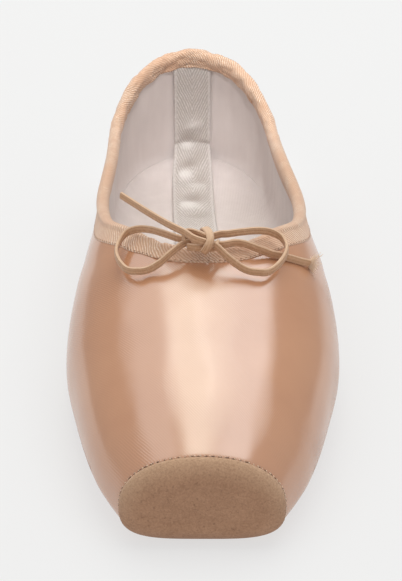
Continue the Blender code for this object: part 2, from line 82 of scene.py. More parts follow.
sectionNames = ("half", "crown", "belly", "over", "under")
sections = (  # at, half width, closed crown, widest line, squareness above and below it
    (0.000, 0.500 * last["platformWidth"], 1.000 * platformHigh, 0.440 * platformHigh, 2.2, 3.6),
    (0.080, 0.363 * ball, 0.665 * instep, 0.257 * instep, 2.2, 3.8),
    (0.190, 0.448 * ball, 0.794 * instep, 0.276 * instep, 2.2, 3.0),
    (0.300, 0.500 * ball, 0.927 * instep, 0.295 * instep, 2.2, 3.0),
    (0.420, 0.494 * ball, 1.074 * instep, 0.314 * instep, 2.3, 2.8),
    (0.560, 0.598 * heel, 1.264 * instep, 0.342 * instep, 2.5, 2.6),
    (0.700, 0.514 * heel, 1.530 * heelHigh, 0.342 * heelHigh, 2.7, 2.6),
    (quarterEnd / lastLength, 0.500 * heel, 1.600 * heelHigh, 0.342 * heelHigh, 2.1, 2.8),
)
collarLine = (  # share of the way from the throat to the back seam, height
    (0.00, 1.000 * instep),
    (0.05, 1.162 * sideHigh),
    (0.10, 1.149 * sideHigh),
    (0.20, 1.055 * sideHigh),
    (0.36, 0.970 * sideHigh),
    (0.56, 0.985 * sideHigh),
    (0.76, 0.960 * sideHigh),
    (0.92, 0.910 * heelHigh),
    (1.00, 1.000 * heelHigh),
)


def smooth(share):
    share = min(max(share, 0.0), 1.0)
    return share * share * (3 - 2 * share)


def readRows(rows, at, column):  # a table's column at any place, on a smooth curve
    k = 0
    while k < len(rows) - 2 and rows[k + 1][0] < at:
        k += 1
    low, high = rows[k], rows[k + 1]
    before, after = rows[max(k - 1, 0)], rows[min(k + 2, len(rows) - 1)]
    span = high[0] - low[0]
    t = min(max((at - low[0]) / span, 0.0), 1.0)
    leave = (high[column] - before[column]) / (high[0] - before[0]) * span
    arrive = (after[column] - low[column]) / (after[0] - low[0]) * span
    return ((2 * t**3 - 3 * t**2 + 1) * low[column] + (t**3 - 2 * t**2 + t) * leave
            + (3 * t**2 - 2 * t**3) * high[column] + (t**3 - t**2) * arrive)


def seatHeight(along):  # underside of the last over the floor
    at = along / lastLength
    onSole = last["soleThick"] + last["fitGap"]
    lift = last["toeClear"] + (onSole - last["toeClear"]) * smooth((at - 0.02) / 0.09)
    return lift + last["archRise"] * smooth((at - 0.40) / 0.18) * smooth((0.84 - at) / 0.16)


def wallAt(along):
    extra = last["boxWall"] - last["quarterWall"]
    return last["quarterWall"] + extra * smooth(1.6 - along / last["boxLength"])


def stationAt(along):
    section = {name: readRows(sections, along / lastLength, k + 1)
               for k, name in enumerate(sectionNames)}
    return section | {"low": seatHeight(along), "centre": along, "ray": (1.0, 0.0)}


def platformAt(share, inset, along):  # the toe's flat, drawn in by an inset and scaled
    section = stationAt(along)
    middle = 0.5 * (section["crown"] + section["low"])
    section["half"] = (section["half"] - inset) * share
    section["crown"] = middle + (section["crown"] - inset - middle) * share
    section["low"] = middle - (middle - section["low"] - inset) * share
    section["belly"] = middle + (section["belly"] - middle) * share
    return section


def heelAt(turn):  # the fan round the heel, a quarter turn at the back seam
    section = stationAt(quarterEnd)
    section["ray"] = (math.cos(turn), math.sin(turn) * last["heelDepth"] / section["half"])
    return section


def sectionLine(section, angles):  # half section: -90 degrees at the bottom, 90 at the crown
    cosine = np.maximum(np.cos(angles), 0.0)
    sine = np.sin(angles)
    half = section["half"]
    reach = half * np.where(sine >= 0, cosine ** (2 / section["over"]), cosine ** (2 / section["under"]))
    rise = (section["crown"] - section["belly"]) * np.maximum(sine, 0) ** (2 / section["over"])
    fall = (section["belly"] - section["low"]) * np.maximum(-sine, 0) ** (2 / section["under"])
    z = section["belly"] + np.where(sine >= 0, rise, -fall)
    return np.stack([reach * section["ray"][0], section["centre"] + reach * section["ray"][1], z], axis=-1)


def toShoe(side, points):  # mirrored, swayed at the heel, leaning at the toe
    points = np.atleast_2d(np.asarray(points, float))
    across, along, z = points[:, 0], points[:, 1], points[:, 2]
    share = np.clip((along / lastLength - 0.39) / 0.61, 0, 1)
    sway = last["heelSway"] * share * share * (3 - 2 * share)
    lean = last["platformLean"] * z / platformHigh * np.maximum(0.0, 1 - along / (0.3 * lastLength))
    return np.stack([side * across - sway, along + lean + toeFlat, z], axis=-1)


toeFlat = -0.5 * (lastLength - last["fitGap"] - last["tipThick"])   # where the satin of the toe's flat stands


def collarHeight(along):
    crown = readRows(sections, last["vampLength"] / lastLength, 2)
    at = (along - last["vampLength"]) / (lastLength - last["vampLength"])
    return readRows(collarLine, at, 1) + (crown - instep) * smooth(1 - at / collarLine[1][0])


def collarAngle(section, turn=0.0):
    if section["centre"] <= last["vampLength"]:
        return quarterTurn
    height = collarHeight(section["centre"] + last["heelDepth"] * math.sin(turn))
    share = (height - section["belly"]) / (section["crown"] - section["belly"])
    return math.asin(min(share, 1.0) ** (0.5 * section["over"]))


# meshes from rows of points, and how a finished piece is put on the shoe

def patchMesh(name, patches, merge=0.004 * mm, recalculate=True):
    points, maps, faces = [], [], []
    start = 0
    for patch in patches:
        rows, columns = patch["points"].shape[:2]
        points.append(patch["points"].reshape(-1, 3))
        maps.append(patch["map"].reshape(-1, 2))
        index = start + np.arange(rows * columns).reshape(rows, columns)
        corners = [index[:-1, :-1], index[:-1, 1:], index[1:, 1:], index[1:, :-1]]
        faces.append(np.stack([c.ravel() for c in corners], axis=-1))
        start += rows * columns
    points, maps, faces = np.concatenate(points), np.concatenate(maps), np.concatenate(faces)
    mesh = bpy.data.meshes.new(name)
    mesh.from_pydata(points.tolist(), [], faces.tolist())
    layer = mesh.uv_layers.new(name="UVMap")
    corner = np.zeros(len(mesh.loops), np.int32)
    mesh.loops.foreach_get("vertex_index", corner)
    layer.data.foreach_set("uv", maps[corner].astype(np.float32).ravel())
    for k, attribute in enumerate(("across", "along")):
        writeAttribute(mesh, attribute, maps[:, k])
    shape = bmesh.new()
    shape.from_mesh(mesh)
    bmesh.ops.remove_doubles(shape, verts=shape.verts, dist=merge)
    bmesh.ops.dissolve_degenerate(shape, edges=shape.edges, dist=0.5 * merge)
    if recalculate:
        bmesh.ops.recalc_face_normals(shape, faces=shape.faces)
    shape.to_mesh(mesh)
    shape.free()
    return mesh


def tubePatch(rings, grid, first, final):  # rings in a row, its two ends drawn in to a point
    lids = [np.repeat(np.array(point)[None, None, :], rings.shape[1], axis=1) for point in (first, final)]
    return {"points": np.concatenate([lids[0], rings, lids[1]]),
            "map": np.concatenate([grid[:1], grid, grid[-1:]])}


def readMesh(mesh, what):
    values = np.zeros(3 * len(mesh.vertices), np.float32)
    mesh.vertices.foreach_get(what, values)
    return values.reshape(-1, 3)


def readAttribute(mesh, name):
    values = np.zeros(len(mesh.vertices), np.float32)
    mesh.attributes[name].data.foreach_get("value", values)
    return values


def writeAttribute(mesh, name, values):
    made = mesh.attributes.new(name, "FLOAT", "POINT")
    made.data.foreach_set("value", np.asarray(values, np.float32))


def moveAlongNormals(mesh, offsets):
    moved = readMesh(mesh, "co") + readMesh(mesh, "normal") * np.asarray(offsets)[:, None]
    mesh.vertices.foreach_set("co", moved.astype(np.float32).ravel())
    mesh.update()


def turnOutwards(mesh, centre):  # an open skin: its faces look away from a point inside
    mesh.update()
    centre = np.array(centre)
    outward = sum(p.area * Vector(p.center - Vector(centre)).dot(p.normal) for p in mesh.polygons)
    if outward < 0:
        mesh.flip_normals()
        mesh.update()


def addObject(name, data):
    made = bpy.data.objects.new(name, data)
    bpy.context.scene.collection.objects.link(made)
    return made


def newPiece(name, mesh, *finishes):
    for finish in finishes:
        mesh.materials.append(finish)
    mesh.shade_smooth()
    return addObject(name, mesh)


def settle(piece):  # the modifiers' result becomes the mesh
    evaluated = piece.evaluated_get(bpy.context.evaluated_depsgraph_get())
    mesh = bpy.data.meshes.new_from_object(evaluated)
    piece.modifiers.clear()
    piece.data = mesh
    return piece


def putOn(piece, slotName, *nodes):
    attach(piece, "root")
    if nodes:
        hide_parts(*nodes)
    print(piece.name, "faces:", len(piece.data.polygons))
    return piece


def thicken(piece, thickness, offset, **settings):
    wall = piece.modifiers.new("Wall", "SOLIDIFY")
    wall.thickness = thickness
    wall.offset = offset
    wall.use_quality_normals = True
    for name, value in settings.items():
        setattr(wall, name, value)
    return settle(piece)


def throughPoints(points, steps):  # a smooth curve through given points
    points = [np.array(p, float) for p in points]
    route = []
    for k in range(len(points) - 1):
        a, b = points[k], points[k + 1]
        before, after = points[max(k - 1, 0)], points[min(k + 2, len(points) - 1)]
        for step in range(steps):
            t = step / steps
            route.append(0.5 * (2 * a + (b - before) * t + (2 * before - 5 * a + 4 * b - after) * t**2
                                + (3 * a - before - 3 * b + after) * t**3))
    return np.array(route + [points[-1]])


def travelled(line):
    return np.concatenate([[0.0], np.cumsum(np.linalg.norm(np.diff(line, axis=0), axis=1))])


def evenly(line, count):  # the same line at even steps of length
    lengths = travelled(line)
    goals = np.linspace(0, lengths[-1], count)
    return np.stack([np.interp(goals, lengths, line[:, k]) for k in range(line.shape[1])], axis=-1)


# material helpers

def hexColour(text):
    parts = [int(text[k:k + 2], 16) / 255 for k in (1, 3, 5)]
    return [c / 12.92 if c <= 0.04045 else ((c + 0.055) / 1.055) ** 2.4 for c in parts] + [1.0]


def addNode(tree, kind, *inputs, output=0, **settings):  # inputs in their order, or by name in a dictionary
    node = tree.nodes.new(kind)
    for name, value in settings.items():
        setattr(node, name, value)
    if not (inputs and isinstance(inputs[0], dict)):
        inputs = [dict(enumerate(inputs))]
    for socket, value in inputs[0].items():
        if isinstance(value, bpy.types.NodeSocket):
            tree.links.new(value, node.inputs[socket])
        elif value is not None:
            node.inputs[socket].default_value = value
    return node.outputs[output] if node.outputs else node


def newMaterial(name, **shaderValues):  # gives two calls: to add a node, and to end at the shader
    made = bpy.data.materials.new(name)
    made.use_nodes = True
    tree = made.node_tree
    shader = tree.nodes["Principled BSDF"]
    for socket, value in shaderValues.items():
        shader.inputs[socket.replace("_", " ")].default_value = value

    def add(kind, *inputs, **settings):
        return addNode(tree, "ShaderNode" + kind, *inputs, **settings)

    def join(**sockets):
        for socket, value in sockets.items():
            tree.links.new(value, shader.inputs[socket.replace("_", " ")])
        return made

    return add, join


def layered(add, base, *layers):  # one colour over another, each by its own share
    tone = hexColour(base)
    for share, colour in layers:
        tone = add("Mix", {0: share, 6: tone, 7: hexColour(colour)}, output=2, data_type="RGBA")
    return tone


def weighed(add, *parts):  # the sum of values, each times its weight
    total = 0.0
    for value, weight in parts:
        total = add("Math", value, weight, total, operation="MULTIPLY_ADD")
    return total


def noises(add, vector, *sizes):  # soft noise of each size in mm, with its detail and, where given, roughness
    return [add("TexNoise", {"Vector": vector, "Scale": 1 / (size * mm), "Detail": detail,
                             "Roughness": rough[0] if rough else 0.5}) for size, detail, *rough in sizes]


def raised(add, *layers):  # bump over bump: a height of 0 to 1, and its depth in metres
    normal = None
    for height, depth in layers:
        normal = add("Bump", {"Height": height, "Distance": depth, "Normal": normal})
    return normal


def ribs(add, coordinate, pitch):  # 0 to 1 and back once in every pitch
    turned = add("Math", coordinate, 2 * math.pi / pitch, operation="MULTIPLY")
    return add("Math", add("Math", turned, operation="SINE"), 0.5, 0.5, operation="MULTIPLY_ADD")


def placeAndMap(add):
    uv = add("TexCoord", output="UV")
    return add("TexCoord", output="Object"), add("SeparateXYZ", uv), add("SeparateXYZ", uv, output=1)


# camera at the photograph's angle; the sizes come from the outline matched to the last

view = {
    "beforeToe": 378.5 * mm,
    "aside": 0.73 * mm,
    "height": 284 * mm,
    "downDegrees": 28.285,
    "turnDegrees": -0.166,
    "focalPixels": 1702,
    "frameHeight": 581,
    "sensor": 36,
}


def placeCamera():
    camera = addObject("camera", bpy.data.cameras.new("camera"))
    camera.location = (view["aside"], toeFlat - view["beforeToe"], view["height"])
    turn, down = math.radians(view["turnDegrees"]), math.radians(view["downDegrees"])
    forward = Vector((math.sin(turn) * math.cos(down), math.cos(turn) * math.cos(down), -math.sin(down)))
    camera.rotation_euler = forward.to_track_quat("-Z", "Y").to_euler()
    camera.data.sensor_width = view["sensor"]
    camera.data.lens = view["focalPixels"] * view["sensor"] / view["frameHeight"]
    bpy.context.scene.camera = camera


placeCamera()
print("camera placed")


# drawstring: flat braided elastic, tied in a bow over the throat

drawstring = {
    "width": 2.4 * mm,
    "thickness": 1.15 * mm,
    "squareness": 2.8,
    "ridges": 5,
    "ridgeDepth": 0.04 * mm,
    "around": 44,
    "step": 0.5 * mm,
    "base": "#C69C79",
    "grooveShade": "#B58A67",
    "pale": "#D6B090",
    "worn": "#E2C1A2",
    "yarn": "#E8CDB2",
    "braidPitch": 0.7 * mm,
    "hairs": 150,
    "hairLong": 3.2 * mm,
    "hairThick": 0.13 * mm,
    "knotAt": (0, -1.5, 4.2),
}
# routes from the throat's middle: across, back and up, in millimetres; the first points lie in the knot
routes = {
    "bowLoopLeft": {
        "node": "bow_loop_left", "length": 0.070, "end": "knot",
        "points": ((-1.5, -1.2, 4.0), (-5.8, -2.2, 3.6), (-9.5, -5, 2), (-13, -7, -0.5), (-16.5, -7.5, -2.5),
                   (-20, -7.5, -3), (-23, -5.5, -3.5), (-25.5, -1, -3), (-26.5, 3.5, -2), (-25.5, 8, -0.5),
                   (-23.5, 10.5, 1), (-20, 10, 2.5), (-16, 7.5, 3.5), (-12, 4, 4), (-8, 1, 4),
                   (-5.8, 0, 4), (-1.5, -0.2, 4.2))},
    "bowLoopRight": {
        "node": "bow_loop_right", "length": 0.0625, "end": "knot",
        "points": ((3.2, -6.0, 4.9), (4.4, -6.2, 4.4), (8, -8, 1.5), (12.5, -9, -1.5), (16.5, -9, -2.5),
                   (20, -7.5, -3), (23.5, -2.5, -2.5), (25.5, 2.5, -1), (24.5, 7, 0.5), (21.5, 8.5, 2),
                   (17, 7, 3.5), (11.5, 4, 4.5), (7.5, 1.8, 5), (5, 1, 5.2), (1.4, -0.4, 4.6))},
    "bowEndLeft": {
        "node": "bow_end_left", "length": 0.040, "end": "bare",
        "points": ((3.2, -6.0, 4.9), (1.2, -6.0, 5.8), (-2.5, -5.2, 6.8), (-5, -3, 7.5), (-9.5, 1, 8),
                   (-14, 6.5, 8), (-19.5, 13, 8.5), (-25.5, 19.5, 9.5))},
    "bowEndRight": {
        "node": "bow_end_right", "length": 0.034, "end": "bare",
        "points": ((3.1, -1.8, 3.2), (6.1, -1.8, 3.1), (9.5, 0.5, 2.6), (12.5, 1, 2), (17, 1, 0.2),
                   (20.5, 2, -1.8), (23.5, 3, -3), (27, 4.5, -4.8), (30, 6, -6.5), (33, 7.5, -8))},
}
knotStrands = {
    "over": ((0.0, 2.6, 4.6), (0.3, 2.0, 6.4), (0.9, -0.6, 7.7), (1.8, -3.8, 8.1), (2.2, -6.4, 7.2),
             (1.5, -7.5, 5.4), (0.1, -7.4, 3.2)),
    "beside": ((-5.6, -2.6, 4.4), (-5.7, -1.6, 6.0), (-4.4, -0.6, 6.8), (-1.6, -2.4, 7.1), (0.6, -4.0, 6.8),
               (2.6, -4.6, 5.2)),
    "under": ((-4.6, -3.4, 3.2), (-2.0, -5.0, 3.6), (1.0, -5.2, 3.6), (3.6, -4.2, 3.4), (4.6, -1.6, 3.6)),
}


def elasticFinish():
    # braided elastic, polyester over rubber cores: matt, lengthwise ridges with a fine chevron between
    add, join = newMaterial("braided_elastic", Roughness=0.72, Sheen_Weight=0.25, Sheen_Roughness=0.5,
                            Specular_IOR_Level=0.3)
    position, around, along = placeAndMap(add)
    count = 2.0 * drawstring["ridges"]
    ridge = ribs(add, around, 1.0 / count)
    zigzag = add("Math", add("Math", around, count, operation="MULTIPLY"), 0.5, operation="PINGPONG")
    slanted = add("Math", zigzag, 0.6 * mm, along, operation="MULTIPLY_ADD")
    chevron = ribs(add, slanted, drawstring["braidPitch"])
    fleck, = noises(add, position, (0.8, 3))
    # faces turned up are painted paler: painted top light
    upward = add("SeparateXYZ", add("NewGeometry", output="Normal"), output=2)
    # the dips between the ridges are painted darker as shade
    tone = layered(add, drawstring["grooveShade"],
                   (add("MapRange", ridge, 0.0, 0.75), drawstring["base"]),
                   (add("MapRange", fleck, 0.45, 0.7, 0.0, 0.45), drawstring["pale"]),
                   (add("MapRange", upward, 0.35, 0.95, 0.0, 0.75), drawstring["worn"]))
    height = weighed(add, (ridge, 0.7), (chevron, 0.3))
    return join(Base_Color=tone, Normal=raised(add, (height, 0.12 * mm)))


def fibreFinish():
    # the elastic's own yarns, frayed: pale, matt and soft
    add, join = newMaterial("frayed_yarn", Roughness=0.9, Sheen_Weight=0.4, Specular_IOR_Level=0.2,
                            Base_Color=hexColour(drawstring["yarn"]))
    return join()


throatAt = Vector(toShoe(0, (0.0, last["vampLength"], instep))[0])


def fromThroat(offsets):
    return np.array(throatAt) + np.atleast_2d(np.asarray(offsets, float)) * mm


def ribbonMesh(name, route, upright=(0.0, 0.0, 1.0)):  # flat cord on edge: its width stays near upright
    count = max(int(travelled(route)[-1] / drawstring["step"]), 8)
    line = evenly(route, count)
    tangents = np.gradient(line, axis=0)
    tangents /= np.linalg.norm(tangents, axis=1)[:, None]
    upright = np.array(upright)
    ups = upright - tangents * (tangents @ upright)[:, None]
    weights = np.linalg.norm(ups, axis=1)
    ups /= np.maximum(weights, 1e-6)[:, None]
    for k in range(1, count):   # where the cord dives, the width keeps turning with it
        carried = ups[k - 1] - tangents[k] * (ups[k - 1] @ tangents[k])
        carried /= np.linalg.norm(carried)
        share = smooth((weights[k] - 0.35) / 0.4)
        mixed = carried * (1 - share) + ups[k] * share * (1 if ups[k] @ carried >= 0 else -1)
        ups[k] = mixed / np.linalg.norm(mixed)
    sides = np.cross(tangents, ups)
    angles = np.linspace(0, 2 * math.pi, drawstring["around"] + 1)
    power = 2 / drawstring["squareness"]
    tall = 0.5 * drawstring["width"] * np.sign(np.cos(angles)) * np.abs(np.cos(angles)) ** power
    wide = 0.5 * drawstring["thickness"] * np.sign(np.sin(angles)) * np.abs(np.sin(angles)) ** power
    ridges = np.cos(2 * math.pi * drawstring["ridges"] * tall / drawstring["width"])
    faces = np.abs(wide) > 0.3 * drawstring["thickness"]
    wide = wide + np.sign(wide) * drawstring["ridgeDepth"] * ridges * faces
    points = (line[:, None, :] + ups[:, None, :] * tall[None, :, None]
              + sides[:, None, :] * wide[None, :, None])
    along = travelled(line)
    grid = np.stack(np.meshgrid(angles / (2 * math.pi), along), axis=-1)
    return patchMesh(name, [tubePatch(points, grid, line[0], line[-1])]), line


def joinMeshes(name, meshes):
    shape = bmesh.new()
    for mesh in meshes:
        shape.from_mesh(mesh)
    joined = bpy.data.meshes.new(name)
    shape.to_mesh(joined)
    shape.free()
    return joined


def frayedEnd(line):  # loose fibres where the cord was cut, fanned out from its last millimetre
    chance = random.Random(7)
    tip, way = Vector(line[-1]), Vector(line[-1] - line[-6]).normalized()
    side = way.cross(Vector((0, 0, 1))).normalized()
    rise = side.cross(way)
    curve = bpy.data.curves.new("fibres", "CURVE")
    curve.dimensions = "3D"
    curve.bevel_depth = 0.5 * drawstring["hairThick"]
    curve.bevel_resolution = 1
    for _ in range(drawstring["hairs"]):
        across, up = chance.uniform(-0.45, 0.45), chance.uniform(-1.0, 1.0)
        long = drawstring["hairLong"] * chance.uniform(0.35, 1.0)
        start = tip - way * 0.5 * mm + side * across * 0.9 * mm + rise * up * 0.9 * mm
        spread = side * chance.gauss(across * 0.9, 0.35) + rise * chance.gauss(up * 0.8, 0.35)
        bend = side * chance.gauss(0, 0.3) + rise * chance.gauss(-0.1, 0.3)
        spline = curve.splines.new("POLY")
        spline.points.add(4)
        for k, point in enumerate(spline.points):
            t = k / 4
            point.co = (*(start + long * (way * t + spread * t * t + bend * t**3)), 1.0)
    holder = addObject("fibres", curve)
    mesh = bpy.data.meshes.new_from_object(holder.evaluated_get(bpy.context.evaluated_depsgraph_get()))
    bpy.data.objects.remove(holder)
    return mesh


elastic = elasticFinish()
cordPieces = {}
for name, route in routes.items():
    mesh, line = ribbonMesh(name, throughPoints(fromThroat(route["points"]), 8))
    piece = newPiece(name, mesh, elastic)
    putOn(piece, "drawstring", route["node"])
    cordPieces[name] = (piece, line)
    print(name, "measures", round(float(travelled(line)[-1]), 4))


def makeKnot():
    lying = {"over": (1.0, 0.0, 0.35)}   # this strand lies flat over the knot, its width across
    strands = [ribbonMesh(name, throughPoints(fromThroat(points), 8), lying.get(name, (0.0, 0.0, 1.0)))[0]
               for name, points in knotStrands.items()]
    core = bmesh.new()
    bmesh.ops.create_uvsphere(core, u_segments=24, v_segments=16, radius=0.5)
    bmesh.ops.scale(core, vec=(6.6 * mm, 5.4 * mm, 3.6 * mm), verts=core.verts)
    bmesh.ops.translate(core, vec=fromThroat((-0.4, -2.4, 4.2))[0], verts=core.verts)
    heart = bpy.data.meshes.new("knotHeart")
    core.to_mesh(heart)
    core.free()
    return newPiece("bowKnot", joinMeshes("bowKnot", strands + [heart]), elastic)


knot = putOn(makeKnot(), "drawstring", "bow_knot")
fibres = putOn(newPiece("bowEndFibres", frayedEnd(cordPieces["bowEndRight"][1]), fibreFinish()),
               "drawstring")
alongWith = {"bowLoopLeft": [knot], "bowEndRight": [fibres]}
exitPoint = tuple(fromThroat(drawstring["knotAt"])[0])
for name, (piece, line) in cordPieces.items():
    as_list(alongWith.get(name, []))
print("drawstring tied")


# satin upper: one hollow wall with the cotton lining inside

satin = {
    "bodyRows": 150,
    "heelRows": 44,
    "columns": 60,
    "base": "#C08C69",
    "deep": "#B37E5D",
    "valleyShade": "#9F6C4C",
    "threadPitch": 0.8 * mm,   # real floats lie 0.2 mm apart: drawn coarser, to show as a twill
}
cotton = {"base": "#E0D6D2", "shade": "#D4C9C5"}
sole = {
    "front": 15 * mm,
    "back": 9 * mm,
    "margin": 7 * mm,
    "frontRound": 0.30 * ball,
    "backRound": 0.40 * heel,
}
solePlan = (
    (0.06, 0.225 * ball),
    (0.16, 0.275 * ball),
    (0.30, 0.330 * ball),
    (0.45, 0.265 * ball),
    (0.60, 0.285 * heel),
    (0.74, 0.315 * heel),
    (0.86, 0.350 * heel),
    (0.98, 0.345 * heel),
)
pleating = {
    "centre": 8 * mm,    # behind the sole's front, where the creases fan out from
    "behind": 10 * mm,
    "reach": 26,         # in mm
    "depth": 0.6 * mm,
    "width": 0.16,
}
# soft troughs and ridges: along from the toe, across from the crown line, half sizes, slant, height, in mm
folds = (
    (96, 44, 16, 3.0, 35, -0.35),
    (104, -46, 18, 3.2, -30, -0.35),
    (120, 52, 20, 4.0, 12, 0.30),
    (124, -54, 20, 4.0, -12, 0.30),
    (60, 50, 22, 5.0, 8, -0.30),
    (58, -49, 22, 5.0, -10, -0.25),
    (34, 20, 18, 6.0, 4, 0.22),
    (40, -22, 20, 5.0, -5, -0.22),
    (150, 48, 16, 3.4, -20, -0.30),
    (154, -50, 16, 3.4, 22, -0.30),
)


def roundedEnd(distance, radius):
    return math.sqrt(1 - (1 - min(max(distance / radius, 0.0), 1.0)) ** 2)


def soleHalf(along, inset=0.0):
    front = roundedEnd(along - sole["front"] - inset, sole["frontRound"])
    back = roundedEnd(lastLength - sole["back"] - inset - along, sole["backRound"])
    return (readRows(solePlan, along / lastLength, 1) - inset) * front * back


def openingAngle(section):
    if section["centre"] <= sole["front"] + sole["margin"]:
        return -quarterTurn
    share = soleHalf(section["centre"], sole["margin"]) / section["half"]
    return -math.acos(share ** (0.5 * section["under"]))


def toeRows(shares, rimSteps, reach):  # the toe's flat and its rim: section, first and last angle, distance
    sections = [platformAt(share, last["rimRadius"], 0.0) for share in shares]
    for step in range(1, rimSteps + 1):
        turn = math.acos(1 - reach / last["rimRadius"]) * step / rimSteps
        inset = last["rimRadius"] * (1 - math.sin(turn))
        sections.append(platformAt(1.0, inset, last["rimRadius"] * (1 - math.cos(turn))))
    return [(section, -quarterTurn, quarterTurn, section["centre"]) for section in sections]


def upperRows():  # section, first and last angle, distance along the shoe's side
    rows = toeRows((0.05, 0.3, 0.65, 1.0), 6, last["rimRadius"])
    start = last["rimRadius"]
    opening = sole["front"] + sole["margin"]
    throat = last["vampLength"]
    steps = np.linspace(0, 1, satin["bodyRows"] + 1)[1:]
    places = start + (quarterEnd - start) * steps
    near = [opening + 1e-6, throat, throat + 0.3 * mm, throat + 0.7 * mm]
    for along in sorted([*places, *near]):
        section = stationAt(along)
        rows.append((section, openingAngle(section), collarAngle(section), along))
    for k in range(1, satin["heelRows"] + 1):
        turn = quarterTurn * k / satin["heelRows"]
        section = heelAt(turn)
        around = quarterEnd + 0.5 * (last["heelDepth"] + section["half"]) * turn
        rows.append((section, openingAngle(section), collarAngle(section, turn), around))
    return rows


def skinPatches(rows, columns):  # left and right halves, with across and along as the map
    lines, maps = [], []
    for section, start, end, along in rows:
        whole = travelled(sectionLine(section, np.linspace(start, quarterTurn, 480)))
        part = sectionLine(section, np.linspace(start, end, 160))
        goals = np.linspace(0, travelled(part)[-1], columns)
        lines.append(evenly(part, columns))
        maps.append(np.stack([whole[-1] - goals, np.full(columns, along)], axis=-1))
    return [{"points": np.stack([toShoe(side, line) for line in lines]),
             "map": np.stack(maps) * np.array([side, 1.0])} for side in (-1, 1)]


def satinFinish():
    # polyester satin pasted over the box: long floats give broad soft highlights and a faint twill
    add, join = newMaterial("peach_satin_weave", Specular_IOR_Level=1.0, IOR=1.65, Sheen_Weight=0.1,
                            Sheen_Roughness=0.4)
    position, across, along = placeAndMap(add)
    warp, cloud, grain, patch, wave = noises(add, position, (9, 2), (22, 3), (0.5, 2), (26, 1), (16, 1))
    diagonal = weighed(add, (across, 1.0), (along, 0.85), (warp, 1.2 * mm))
    strength = add("MapRange", patch, 0.45, 0.65, 0.25, 1.0)
    thread = add("Math", ribs(add, diagonal, satin["threadPitch"]), strength, operation="MULTIPLY")
    # the twill's troughs are painted darker as shade
    tone = layered(add, satin["base"],
                   (add("MapRange", cloud, 0.35, 0.7, 0.0, 0.55), satin["deep"]),
                   (add("Math", thread, 0.21, operation="MULTIPLY"), satin["valleyShade"]))
    fine = weighed(add, (thread, 0.7), (grain, 0.2))
    return join(Base_Color=tone, Roughness=add("MapRange", grain, 0.3, 0.7, 0.15, 0.19),
                Normal=raised(add, (fine, 0.035 * mm), (wave, 0.25 * mm)))


def liningFinish(name):
    # pale cotton canvas: matt, a fine plain weave, drawn at 0.6 mm
    add, join = newMaterial(name, Roughness=0.9, Sheen_Weight=0.1, Specular_IOR_Level=0.25)
    position, across, along = placeAndMap(add)
    weave = add("Math", ribs(add, across, 0.6 * mm), ribs(add, along, 0.6 * mm), operation="MULTIPLY")
    cloud, = noises(add, position, (24, 3))
    streak, = noises(add, add("Mapping", {0: position, 3: (1.0, 1.0, 0.25)}, vector_type="POINT"), (5, 3))
    mark = weighed(add, (cloud, 0.6), (streak, 0.4))
    tone = layered(add, cotton["base"], (add("MapRange", mark, 0.35, 0.65), cotton["shade"]))
    return join(Base_Color=tone, Normal=raised(add, (cloud, 0.8 * mm), (weave, 0.05 * mm)))


def softFolds(rows, along, across):  # each row is a soft oval, raised or sunk
    total = np.zeros(len(across))
    for at, side, length, width, slant, height in rows:
        turn = math.radians(slant)
        p, q = along / mm - at, across / mm - side
        down = p * math.cos(turn) + q * math.sin(turn)
        over = -p * math.sin(turn) + q * math.cos(turn)
        total += height * mm * np.exp(-(down / length) ** 2 - (over / width) ** 2)
    return total


def toePleats(points, normals, along):  # satin gathered under the toe, in creases that fan out from the sole
    total = np.zeros(len(points))
    centre = toeFlat + sole["front"] + pleating["centre"]
    for k in np.flatnonzero((normals[:, 2] < -0.3) & (along < sole["front"] + pleating["behind"])):
        x, y = points[k, 0], centre - points[k, 1]
        fan, reach = math.atan2(x, max(y, 1 * mm)), math.hypot(x, y) / mm
        wander = noise.noise(Vector((fan * 3.4, reach / 14, 5.3)))
        share = smooth(reach / 9) * smooth((pleating["reach"] - reach) / 8)
        share *= smooth((-normals[k, 2] - 0.3) / 0.4)
        total[k] = -pleating["depth"] * share * max(0.0, 1 - abs(wander) / pleating["width"])
    return total


def closeToe(mesh, reach, longest=1.0):  # fills the small opening left in the middle of the toe's flat
    shape = bmesh.new()
    shape.from_mesh(mesh)
    rim = [e for e in shape.edges if e.is_boundary and e.calc_length() < longest
           and all(v.co.y < toeFlat + reach for v in e.verts)]
    bmesh.ops.holes_fill(shape, edges=rim, sides=400)
    shape.to_mesh(mesh)
    shape.free()


def thickenUnevenly(piece, thickness, offset, shares, **settings):
    group = piece.vertex_groups.new(name="wall")
    for index, share in enumerate(shares):
        group.add([index], share, "REPLACE")
    return thicken(piece, thickness, offset, vertex_group="wall", **settings)


def makeUpper():
    mesh = patchMesh("satinUpper", skinPatches(upperRows(), satin["columns"]), merge=0.02 * mm)
    closeToe(mesh, 3 * mm, 2 * mm)
    turnOutwards(mesh, (0, 0, 0.5 * instep))
    across, along = readAttribute(mesh, "across"), readAttribute(mesh, "along")
    pleats = toePleats(readMesh(mesh, "co"), readMesh(mesh, "normal"), along)
    moveAlongNormals(mesh, softFolds(folds, along, across) + pleats)
    skin = mesh.copy()
    piece = newPiece("satinUpper", mesh, satinFinish(), liningFinish("cotton_lining"))
    thickenUnevenly(piece, last["boxWall"], -1, [wallAt(float(place)) / last["boxWall"] for place in along],
                    use_even_offset=True, material_offset=1, material_offset_rim=1)
    return piece, skin


upper, skin = makeUpper()
putOn(upper, "satin", "upper")
skinTree = BVHTree.FromPolygons([v.co.copy() for v in skin.vertices],
                                [tuple(p.vertices) for p in skin.polygons])
print("upper lasted")


def onSkin(point, height):  # the nearest point of the satin, raised by a height
    foot, normal, *_ = skinTree.find_nearest(Vector(point))
    return foot + normal * height, normal


# suede tip over the platform

